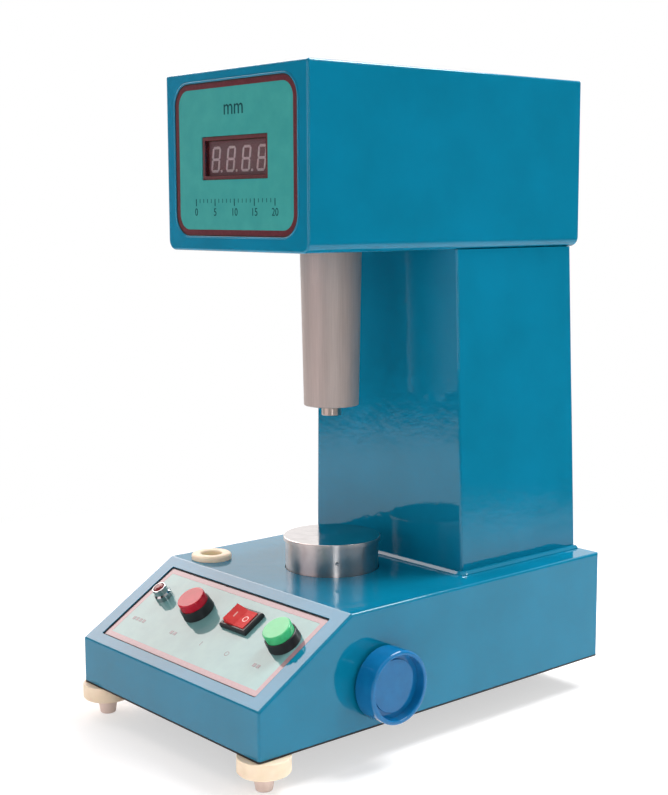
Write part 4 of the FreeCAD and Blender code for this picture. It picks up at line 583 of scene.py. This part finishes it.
def pick_end(piece):
    """Selects the end of a mesh that faces up, and stays in edit mode."""
    select_only(piece)
    bpy.ops.object.mode_set(mode="EDIT")
    bpy.ops.mesh.select_mode(type="FACE")
    bpy.ops.mesh.select_all(action="DESELECT")
    bpy.ops.object.mode_set(mode="OBJECT")
    for face in piece.data.polygons:
        face.select = face.normal.z > FACING_OUT
    bpy.ops.object.mode_set(mode="EDIT")


def step_in(width, rise):
    """Insets the picked face and lifts its inner part."""
    bpy.ops.mesh.inset(thickness=width)
    bpy.ops.transform.translate(value=(0, 0, rise))


# a capital's height as a share of the font's size
CAPITAL_SHARE = 0.7


def printed_text(words, height, centre_x, centre_y):
    """Plain printed characters, as a thin mesh centred on a point."""
    deselect()
    bpy.ops.object.text_add(location=(0, 0, 0))
    text = bpy.context.object
    text.data.body = words
    text.data.size = height / CAPITAL_SHARE
    text.data.align_x = "CENTER"
    text.data.align_y = "CENTER"
    text.data.extrude = INK_THICKNESS / 2
    text.data.resolution_u = 4
    bpy.ops.object.convert(target="MESH")
    piece = bpy.context.object
    piece.location = (centre_x, centre_y, INK_THICKNESS / 2)
    apply_place()
    return piece


# ---------------------------------------------------------------- base and control panel

# a black strip standing proud of the casing's lower rim: painted shade along the rim
RIM_SHADE_PROUD = 0.15 * MM
RIM_SHADE_WIDTH = 2.0 * MM
RIM_SHADE_HEIGHT = 0.9 * MM
RIM_SHADE_RADII = (1.7 * MM, 0.5 * MM)

PANEL_LOW, PANEL_HIGH = slope_box("panel_overlay")
PANEL_FACE = SLOPE_PLACE @ Matrix.Translation((0, 0, PANEL_HIGH.z))
PANEL_CORNERS = (PANEL_LOW.xy, PANEL_HIGH.xy)
PRINT_MARGIN = 0.5 * MM
PRINT_WIDTH = 3.6 * MM
PRINT_RADII = (0.6 * MM, 0.3 * MM)
# a black cord in the gap round the panel's sheet: painted shade of the sunk sheet's edge
PANEL_SHADE_REACH = 0.4 * MM
PANEL_SHADE_WIDTH = 1.0 * MM
PANEL_SHADE_HEIGHT = 0.3 * MM
PANEL_SHADE_RADII = (1.2 * MM, 0.8 * MM)

MARK_ROW = 25 * MM
MARK_SIZE = 2.5 * MM
MARK_PITCH = 3.3 * MM
MARK_RADIUS = 0.3 * MM
MARK_CORNER_STEPS = 3
# the middle of each group of marks, across the panel, and how many it has
MARK_GROUPS = ((-58 * MM, 4), (-22.6 * MM, 2), (55 * MM, 2))
SIGN_HEIGHT = 3.2 * MM
SWITCH_SIGNS = (("I", 4.4 * MM), ("O", 28.5 * MM))


def make_panel_border():
    """The line printed round the control panel: dark ink, which shows pale rose partly from painted
    reflection.
    """
    piece = flat_frame(move_in(PANEL_CORNERS, PRINT_MARGIN), PRINT_WIDTH, INK_THICKNESS, *PRINT_RADII)
    finish_piece(piece, "panel_border_print", "base", "border_ink_and_painted_glare", PANEL_FACE)


def make_panel_seal():
    """A black cord laid in the gap round the panel's sheet: painted shade for the shaded edge of the sunk
    sheet.
    """
    piece = flat_frame(move_in(PANEL_CORNERS, -PANEL_SHADE_REACH), PANEL_SHADE_WIDTH, PANEL_SHADE_HEIGHT, *PANEL_SHADE_RADII)
    finish_piece(piece, "panel_painted_shade_cord", "base", "rubber", PANEL_FACE)


def make_base_edging():
    """A black strip round the casing's lower rim: painted shade where the rim's underside falls dark."""
    low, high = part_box("base_casing")
    corners = move_in((low.xy, high.xy), -RIM_SHADE_PROUD)
    piece = flat_frame(corners, RIM_SHADE_WIDTH, RIM_SHADE_HEIGHT, *RIM_SHADE_RADII)
    finish_piece(piece, "base_rim_painted_shade", "base", "rubber", Matrix.Translation((0, 0, low.z)))


def make_panel_marks():
    """Small plain marks below the lamp and the buttons, and the two signs below the switch."""
    mark = centred_plate(MARK_SIZE, MARK_SIZE, INK_THICKNESS, MARK_RADIUS, MARK_CORNER_STEPS)
    marks = copies(mark, [
        Matrix.Translation((centre + (i - (count - 1) / 2) * MARK_PITCH, MARK_ROW, 0))
        for centre, count in MARK_GROUPS
        for i in range(count)
    ])
    for sign, across in SWITCH_SIGNS:
        marks.append(printed_text(sign, SIGN_HEIGHT, across, MARK_ROW))
    finish_piece(join(marks), "panel_marks", "base", "faded_ink", PANEL_FACE)


# ---------------------------------------------------------------- rocker, lamp, level and table

ON_BAR_WIDTH = 0.8 * MM
ON_BAR_LENGTH = 3.8 * MM
OFF_RING_RADIUS = 2.0 * MM
OFF_RING_WIDTH = 0.55 * MM


def rocker_halves():
    """Centre and normal of the rocker's two pressed faces in the slope's frame, left one first."""
    turn = TO_SLOPE.to_3x3()
    halves = {}
    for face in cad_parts["rocker"].data.polygons:
        normal = turn @ face.normal
        if normal.z > FACING_OUT:
            facet = (face.area, TO_SLOPE @ face.center, normal)
            halves.setdefault(round(normal.x, 1), []).append(facet)
    areas = {tilt: sum(area for area, _, _ in facets) for tilt, facets in halves.items()}
    found = []
    for tilt in sorted(areas, key=areas.get)[-2:]:
        middle = sum((centre * area for area, centre, _ in halves[tilt]), Vector()) / areas[tilt]
        found.append((middle, halves[tilt][0][2]))
    return sorted(found, key=lambda half: half[0].x)


def make_rocker_marks():
    """The ON bar and the OFF ring, printed on the rocker's two halves."""
    left, right = rocker_halves()
    bar = centred_plate(ON_BAR_WIDTH, ON_BAR_LENGTH, INK_THICKNESS, MARK_RADIUS, MARK_CORNER_STEPS)
    circle = ring(OFF_RING_RADIUS, OFF_RING_WIDTH, INK_THICKNESS)
    marks = (("rocker_on_mark", bar, left), ("rocker_off_mark", circle, right))
    for name, piece, (centre, normal) in marks:
        lean = Matrix.Rotation(math.atan2(normal.x, normal.z), 4, "Y")
        place = SLOPE_PLACE @ Matrix.Translation(centre) @ lean
        finish_piece(piece, name, "rocker_body", "white_ink", place)


LENS_SIDES = 10
LENS_CROWN = 1.2 * MM
# each step of the facets: its width as a share of the radius, and its rise
LENS_STEPS = ((0.22, 0.8 * MM), (0.36, 0.35 * MM))


def make_lamp_lens():
    """The lamp's lens, cut in facets that step in twice towards a small crown."""
    low, high = slope_box("lamp_lens")
    radius = (high.x - low.x) / 2
    rim = high.z - LENS_CROWN
    middle = ((low.x + high.x) / 2, (low.y + high.y) / 2, (low.z + rim) / 2)
    deselect()
    bpy.ops.mesh.primitive_cylinder_add(vertices=LENS_SIDES, radius=radius, depth=rim - low.z,
                                        location=middle)
    lens = bpy.context.object
    apply_place()
    pick_end(lens)
    for share, rise in LENS_STEPS:
        step_in(radius * share, rise)
    bpy.ops.object.mode_set(mode="OBJECT")
    finish_piece(lens, "lamp_lens_facets", "base", "lens", SLOPE_PLACE)
    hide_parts("lamp_lens")


LEVEL_RING_RADIUS = 2.9 * MM
LEVEL_RING_WIDTH = 0.3 * MM
BUBBLE_RADIUS = 2.1 * MM
BUBBLE_FLATNESS = 0.32
BUBBLE_SHIFT = Vector((0.4 * MM, 0.3 * MM, -0.8 * MM))


def make_level_details():
    """The ring printed on the vial and the air bubble under it."""
    low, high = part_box("level_vial")
    centre = Vector(((low.x + high.x) / 2, (low.y + high.y) / 2, high.z))
    circle = ring(LEVEL_RING_RADIUS, LEVEL_RING_WIDTH, INK_THICKNESS)
    finish_piece(circle, "level_ring_mark", "base", "dark_ink", Matrix.Translation(centre))
    deselect()
    bpy.ops.mesh.primitive_uv_sphere_add(segments=32, ring_count=16, radius=BUBBLE_RADIUS)
    bubble = bpy.context.object
    bubble.scale.z = BUBBLE_FLATNESS
    apply_place()
    bpy.ops.object.shade_smooth()
    under = Matrix.Translation(centre + BUBBLE_SHIFT)
    finish_piece(bubble, "level_bubble", "base", "air", under)


SET_SCREW_AZIMUTH = math.radians(-34.3)
SET_SCREW_DROP = 11.2 * MM
SET_SCREW_RADIUS = 1.1 * MM
SET_SCREW_LENGTH = 2 * MM
SET_SCREW_PROUD = 0.35 * MM
SOCKET_RIM = 0.4 * SET_SCREW_RADIUS
SOCKET_DEPTH = 0.9 * SET_SCREW_PROUD


def make_set_screw():
    """The grub screw in the table's skirt, with the socket in its end."""
    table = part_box("table_top")
    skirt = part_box("rack_carrier")[1].x
    deselect()
    bpy.ops.mesh.primitive_cylinder_add(vertices=24, radius=SET_SCREW_RADIUS, depth=SET_SCREW_LENGTH)
    screw = bpy.context.object
    pick_end(screw)
    step_in(SOCKET_RIM, -SOCKET_DEPTH)
    bpy.ops.object.mode_set(mode="OBJECT")
    out = skirt + SET_SCREW_PROUD - SET_SCREW_LENGTH / 2
    place = (
        Matrix.Rotation(SET_SCREW_AZIMUTH, 4, "Z")
        @ Matrix.Translation((out, 0, table[1].z - SET_SCREW_DROP))
        @ Matrix.Rotation(math.radians(90), 4, "Y")
    )
    finish_piece(screw, "table_set_screw", "lift_carriage", "ground_steel", place)


# ---------------------------------------------------------------- head display

FIELD_LOW, FIELD_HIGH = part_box("display_overlay")
FIELD_FACE = Matrix.Translation((0, FIELD_LOW.y, 0)) @ UPRIGHT
FIELD_CORNERS = (FIELD_LOW.xz, FIELD_HIGH.xz)
WINDOW_LOW, WINDOW_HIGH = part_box("display_window")
BORDER_MARGIN = 0.9 * MM
BORDER_WIDTH = 3.0 * MM
BORDER_RADIUS = 11.8 * MM
# a black cord round the sunk field: painted shade of the field's edge
FIELD_SHADE_MARGIN = 0.2 * MM
FIELD_SHADE_WIDTH = 0.75 * MM
FIELD_SHADE_HEIGHT = 0.2 * MM
BEAD_WIDTH = 1.1 * MM
BEAD_HEIGHT = 0.5 * MM
BEAD_REACH = 0.7 * BEAD_WIDTH
BEAD_RADIUS = BORDER_RADIUS + BORDER_MARGIN + BEAD_REACH
MASK_WIDTH = 2.0 * MM
MASK_RADIUS = 0.4 * MM
UNIT_HEIGHT = 8.5 * MM


def make_display_border():
    """The maroon line printed round the head's field, with round corners."""
    piece = flat_frame(move_in(FIELD_CORNERS, BORDER_MARGIN), BORDER_WIDTH, INK_THICKNESS,
                       BORDER_RADIUS, BORDER_RADIUS - BORDER_WIDTH)
    finish_piece(piece, "display_border_print", "base", "maroon_ink", FIELD_FACE)


def make_display_seal():
    """A black cord between the field's edge and its bead: painted shade for the shaded edge of the sunk
    field.
    """
    piece = flat_frame(move_in(FIELD_CORNERS, FIELD_SHADE_MARGIN), FIELD_SHADE_WIDTH, FIELD_SHADE_HEIGHT,
                       BORDER_RADIUS + FIELD_SHADE_WIDTH, BORDER_RADIUS)
    finish_piece(piece, "display_painted_shade_cord", "base", "rubber", FIELD_FACE)


def make_display_bead():
    """The rolled edge of the sunk field: a narrow half-round bead in the casing's enamel."""
    bead = flat_frame(move_in(FIELD_CORNERS, -BEAD_REACH), BEAD_WIDTH, 2 * BEAD_HEIGHT,
                      BEAD_RADIUS, BEAD_RADIUS - BEAD_WIDTH)
    rounding = bead.modifiers.new("rounding", "BEVEL")
    rounding.width = BEAD_HEIGHT * 0.98
    rounding.segments = 5
    rounding.limit_method = "ANGLE"
    rounding.angle_limit = math.radians(60)
    select_only(bead)
    bpy.ops.object.modifier_apply(modifier="rounding")
    bpy.ops.object.shade_smooth_by_angle(angle=math.radians(40))
    head_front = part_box("head_housing")[0].y
    face = Matrix.Translation((0, head_front + BEAD_HEIGHT, 0)) @ UPRIGHT
    finish_piece(bead, "display_edge_bead", "base", "enamel", face)


def make_window_mask():
    """The dark band printed round the window's edge, which hides the modules' rim."""
    corners = (WINDOW_LOW.xz, WINDOW_HIGH.xz)
    piece = flat_frame(corners, MASK_WIDTH, INK_THICKNESS, MASK_RADIUS, MASK_RADIUS)
    place = Matrix.Translation((0, WINDOW_LOW.y, 0)) @ UPRIGHT
    finish_piece(piece, "window_mask_print", "base", "umber_ink", place)


def make_unit_print():
    """The unit above the window."""
    piece = printed_text("mm", UNIT_HEIGHT, 0, (WINDOW_HIGH.z + FIELD_HIGH.z) / 2)
    finish_piece(piece, "unit_print", "base", "dark_ink", FIELD_FACE)


SCALE_STEPS = 20
SCALE_NUMBER_STEP = 5
SCALE_TICK_PITCH = 3.6 * MM
SCALE_TICK_TOP = FIELD_LOW.z + 21 * MM
SCALE_NUMBER_ROW = FIELD_LOW.z + 13.5 * MM
SCALE_NUMBER_HEIGHT = 4.2 * MM
# width and length
LONG_TICK = (0.7 * MM, 4 * MM)
SHORT_TICK = (0.44 * MM, 2.2 * MM)


def scale_ticks(size, steps):
    """Ticks of that width and length, which hang from one line at these steps of the scale."""
    width, length = size
    tick = plate((-width / 2, -length), (width / 2, 0), INK_THICKNESS)
    middle = SCALE_STEPS / 2
    return copies(tick, [
        Matrix.Translation(((step - middle) * SCALE_TICK_PITCH, SCALE_TICK_TOP, 0)) for step in steps
    ])


def make_scale_print():
    """A plain travel scale in millimetres below the window: ticks and numbers."""
    numbered = range(0, SCALE_STEPS + 1, SCALE_NUMBER_STEP)
    plain = [step for step in range(SCALE_STEPS + 1) if step not in numbered]
    pieces = scale_ticks(LONG_TICK, numbered) + scale_ticks(SHORT_TICK, plain)
    for step in numbered:
        across = (step - SCALE_STEPS / 2) * SCALE_TICK_PITCH
        pieces.append(printed_text(str(step), SCALE_NUMBER_HEIGHT, across, SCALE_NUMBER_ROW))
    finish_piece(join(pieces), "scale_print", "base", "dark_ink", FIELD_FACE)


DIGIT_COUNT = 4
DIGIT_HEIGHT = 14.2 * MM
DIGIT_WIDTH = 7.7 * MM
DIGIT_PITCH = 13.9 * MM
DIGIT_LEAN = math.radians(9)
# how far the digits sit to the right of the modules' middle, and above it
DIGIT_SHIFT = (-0.5 * MM, -0.6 * MM)
BAR_WIDTH = 1.4 * MM
BAR_HEIGHT = 0.25 * MM
BAR_GAP = 0.3 * MM
POINT_RADIUS = 0.75 * MM
POINT_STEP = 1.9 * MM


def light_bar(length):
    """One light bar of a digit: a strip pointed at both ends."""
    return centred_plate(length, BAR_WIDTH, BAR_HEIGHT, BAR_WIDTH * 0.45)


def light_point():
    """The decimal point of a digit: a flat round peg."""
    deselect()
    bpy.ops.mesh.primitive_cylinder_add(vertices=20, radius=POINT_RADIUS, depth=BAR_HEIGHT)
    return bpy.context.object


def make_digits():
    """Four unlit seven-segment digits with their points, on the face of the digit modules."""
    low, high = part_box("digit_block")
    right, up = DIGIT_SHIFT
    face = Matrix.Translation((right, low.y, (low.z + high.z) / 2 + up)) @ UPRIGHT
    half_width = (DIGIT_WIDTH - BAR_WIDTH) / 2
    half_height = (DIGIT_HEIGHT - BAR_WIDTH) / 2
    turn = Matrix.Rotation(math.radians(90) - DIGIT_LEAN, 4, "Z")
    levels, uprights, points = [], [], []
    for digit in range(DIGIT_COUNT):
        middle = (digit - (DIGIT_COUNT - 1) / 2) * DIGIT_PITCH
        for y in (half_height, 0, -half_height):
            levels.append(Matrix.Translation((middle + math.tan(DIGIT_LEAN) * y, y, 0)))
        for y in (half_height / 2, -half_height / 2):
            for x in (-half_width, half_width):
                shift = math.tan(DIGIT_LEAN) * y
                uprights.append(Matrix.Translation((middle + x + shift, y, 0)) @ turn)
        points.append(Matrix.Translation((middle + half_width + POINT_STEP, -half_height, BAR_HEIGHT / 2)))
    pieces = copies(light_bar(2 * half_width - BAR_GAP), levels)
    pieces += copies(light_bar(half_height - BAR_GAP), uprights)
    pieces += copies(light_point(), points)
    finish_piece(join(pieces), "digit_segments", "base", "diffuser", face)


make_panel_border()
make_panel_seal()
make_base_edging()
make_panel_marks()
make_rocker_marks()
make_lamp_lens()
make_level_details()
make_set_screw()
make_display_border()
make_display_seal()
make_display_bead()
make_window_mask()
make_unit_print()
make_scale_print()
make_digits()

# ---------------------------------------------------------------- camera

CAMERA_PLACE = (0.6265, -0.5347, 0.2967)
CAMERA_YAW = math.radians(49.41)
CAMERA_PITCH = math.radians(7.60)
CAMERA_ROLL = math.radians(-0.227)
CAMERA_LENS = 63.69
SENSOR_WIDTH = 36


def make_camera():
    """The camera, to the front and right of the object, which looks slightly down on it."""
    camera_data = bpy.data.cameras.new("camera")
    camera_data.lens = CAMERA_LENS
    camera_data.sensor_width = SENSOR_WIDTH
    camera_data.clip_start = 0.01
    camera = bpy.data.objects.new("camera", camera_data)
    bpy.context.scene.collection.objects.link(camera)
    camera.matrix_world = (
        Matrix.Translation(CAMERA_PLACE)
        @ Matrix.Rotation(CAMERA_YAW, 4, "Z")
        @ Matrix.Rotation(math.radians(90) - CAMERA_PITCH, 4, "X")
        @ Matrix.Rotation(CAMERA_ROLL, 4, "Z")
    )
    bpy.context.scene.camera = camera


make_camera()

# ---------------------------------------------------------------- floor, world and lamps


def by_ray(tree, lit, mirrored, seen):
    """One shader that lights the object, one that it mirrors, and one for the eye, also through glass."""
    path = add_node(tree, "ShaderNodeLightPath").outputs
    unseen = add_node(tree, "ShaderNodeMixShader",
                      {0: path["Is Glossy Ray"], 1: lit.outputs[0], 2: mirrored.outputs[0]})
    clear = add_node(tree, "ShaderNodeMath",
                     {0: path["Is Camera Ray"], 1: path["Is Transmission Ray"]}, operation="MAXIMUM")
    both = add_node(tree, "ShaderNodeMixShader",
                    {0: clear.outputs[0], 1: unseen.outputs[0], 2: seen.outputs[0]})
    return both.outputs[0]


FLOOR_RADIUS = 1.7
FLOOR_FADE_START = 0.30
FLOOR_FADE_END = 0.60
FLOOR_GLOW = 0.55
LIT_SPOT = (-0.1, -0.08, 0.0)
LIT_REACH = 0.6
DARK_REACH = 1.05
MIRRORED_FLOOR = 1.1
MIRRORED_DARK = 0.03


def make_floor():
    """A pale bench top that fades to plain white away from the object; mirrored, it fades to dark."""
    deselect()
    bpy.ops.mesh.primitive_circle_add(vertices=96, radius=FLOOR_RADIUS, fill_type="NGON")
    floor = bpy.context.object
    floor.name = "floor"
    material = bpy.data.materials.new("bench_top_white")
    material.use_nodes = True
    tree = material.node_tree
    tree.nodes.clear()
    place = add_node(tree, "ShaderNodeTexCoord").outputs["Object"]
    bench = add_node(tree, "ShaderNodeBsdfDiffuse", {"Color": colour("#F0F0F0")})

    reach = add_node(tree, "ShaderNodeVectorMath", {0: place}, operation="LENGTH")
    fade = add_node(tree, "ShaderNodeMapRange",
                    {"Value": reach.outputs["Value"],
                     "From Min": FLOOR_FADE_START, "From Max": FLOOR_FADE_END},
                    interpolation_type="SMOOTHSTEP")
    shade = add_node(tree, "ShaderNodeBsdfDiffuse", {"Color": colour("#BFBFBF")})
    glow = add_node(tree, "ShaderNodeEmission", {"Color": WHITE, "Strength": FLOOR_GLOW})
    near = add_node(tree, "ShaderNodeAddShader", {0: shade.outputs[0], 1: glow.outputs[0]})
    white = add_node(tree, "ShaderNodeEmission", {"Color": WHITE, "Strength": 1.0})
    seen = add_node(tree, "ShaderNodeMixShader",
                    {0: fade.outputs["Result"], 1: near.outputs[0], 2: white.outputs[0]})

    away = add_node(tree, "ShaderNodeVectorMath", {0: place, 1: LIT_SPOT}, operation="DISTANCE")
    level = add_node(tree, "ShaderNodeMapRange",
                     {"Value": away.outputs["Value"], "From Min": LIT_REACH, "From Max": DARK_REACH,
                      "To Min": MIRRORED_FLOOR, "To Max": MIRRORED_DARK},
                     interpolation_type="SMOOTHSTEP")
    mirrored = add_node(tree, "ShaderNodeEmission", {"Color": WHITE, "Strength": level.outputs["Result"]})

    add_node(tree, "ShaderNodeOutputMaterial", {"Surface": by_ray(tree, bench, mirrored, seen)})
    floor.data.materials.append(material)


EVEN_LIGHT = 0.49
BRIGHT_SIDE = Vector((-0.75, 0.66, 0.05)).normalized()
# how far a direction turns to the bright side, or up, where the white starts and where it is full
SIDE_START = 0.1
SIDE_FULL = 0.75
CEILING_START = 0.4
CEILING_FULL = 0.8
MIRRORED_SIDE = 1.15
MIRRORED_CEILING = 0.6


def make_world():
    """A white room: even light, plain white to the eye, and mirrored as white on one side and above."""
    world = bpy.data.worlds.new("studio")
    bpy.context.scene.world = world
    world.use_nodes = True
    tree = world.node_tree
    tree.nodes.clear()
    direction = add_node(tree, "ShaderNodeTexCoord").outputs["Generated"]
    even = add_node(tree, "ShaderNodeBackground", {"Color": WHITE, "Strength": EVEN_LIGHT})
    plain = add_node(tree, "ShaderNodeBackground", {"Color": WHITE, "Strength": 1.0})

    toward = add_node(tree, "ShaderNodeVectorMath", {0: direction, 1: tuple(BRIGHT_SIDE)},
                      operation="DOT_PRODUCT")
    side = add_node(tree, "ShaderNodeMapRange",
                    {"Value": toward.outputs["Value"], "From Min": SIDE_START, "From Max": SIDE_FULL,
                     "To Min": MIRRORED_DARK, "To Max": MIRRORED_SIDE},
                    interpolation_type="SMOOTHSTEP")
    upward = add_node(tree, "ShaderNodeSeparateXYZ", {"Vector": direction}).outputs["Z"]
    ceiling = add_node(tree, "ShaderNodeMapRange",
                       {"Value": upward, "From Min": CEILING_START, "From Max": CEILING_FULL,
                        "To Min": 0.0, "To Max": MIRRORED_CEILING},
                       interpolation_type="SMOOTHSTEP")
    bright = add_node(tree, "ShaderNodeMath",
                      {0: side.outputs["Result"], 1: ceiling.outputs["Result"]}, operation="MAXIMUM")
    mirrored = add_node(tree, "ShaderNodeBackground", {"Color": WHITE, "Strength": bright.outputs["Value"]})

    add_node(tree, "ShaderNodeOutputWorld", {"Surface": by_ray(tree, even, mirrored, plain)})


LAMP_DISTANCE = 2.5
# name, direction from the object, width and height in metres, brightness as a mirror sees it, and tint
LAMPS = (
    ("overhead_softbox", (-0.753, 0.12, 0.64), 2.0, 1.8, 4.1, "#FFECE6"),
    ("front_softbox", (-0.2, -0.97, 0.15), 2.0, 1.0, 1.5, "#FFEAEA"),
    ("right_back_softbox", (0.75, 0.45, 0.65), 1.2, 1.2, 1.1, "#FFF6F2"),
    ("ceiling_softbox", (0.1, 0.45, 0.89), 1.2, 1.2, 17.0, "#FFFFFF"),
    ("strip_lamp", (0.857, -0.515, 0.3), 0.12, 1.5, 12.0, "#FFFFFF"),
)


def make_lamp(name, direction, width, height, brightness, tint):
    """A rectangular lamp that looks at the object."""
    lamp_data = bpy.data.lights.new(name, "AREA")
    lamp_data.color = colour(tint)[:3]
    lamp_data.shape = "RECTANGLE"
    lamp_data.size = width
    lamp_data.size_y = height
    lamp_data.energy = brightness * math.pi * width * height
    lamp = bpy.data.objects.new(name, lamp_data)
    bpy.context.scene.collection.objects.link(lamp)
    toward = Vector(direction)
    place = Matrix.Translation(toward.normalized() * LAMP_DISTANCE)
    lamp.matrix_world = place @ toward.to_track_quat("Z", "Y").to_matrix().to_4x4()
    lamp.visible_camera = False


make_floor()
make_world()
for lamp in LAMPS:
    make_lamp(*lamp)
bpy.context.scene.view_settings.view_transform = "Standard"
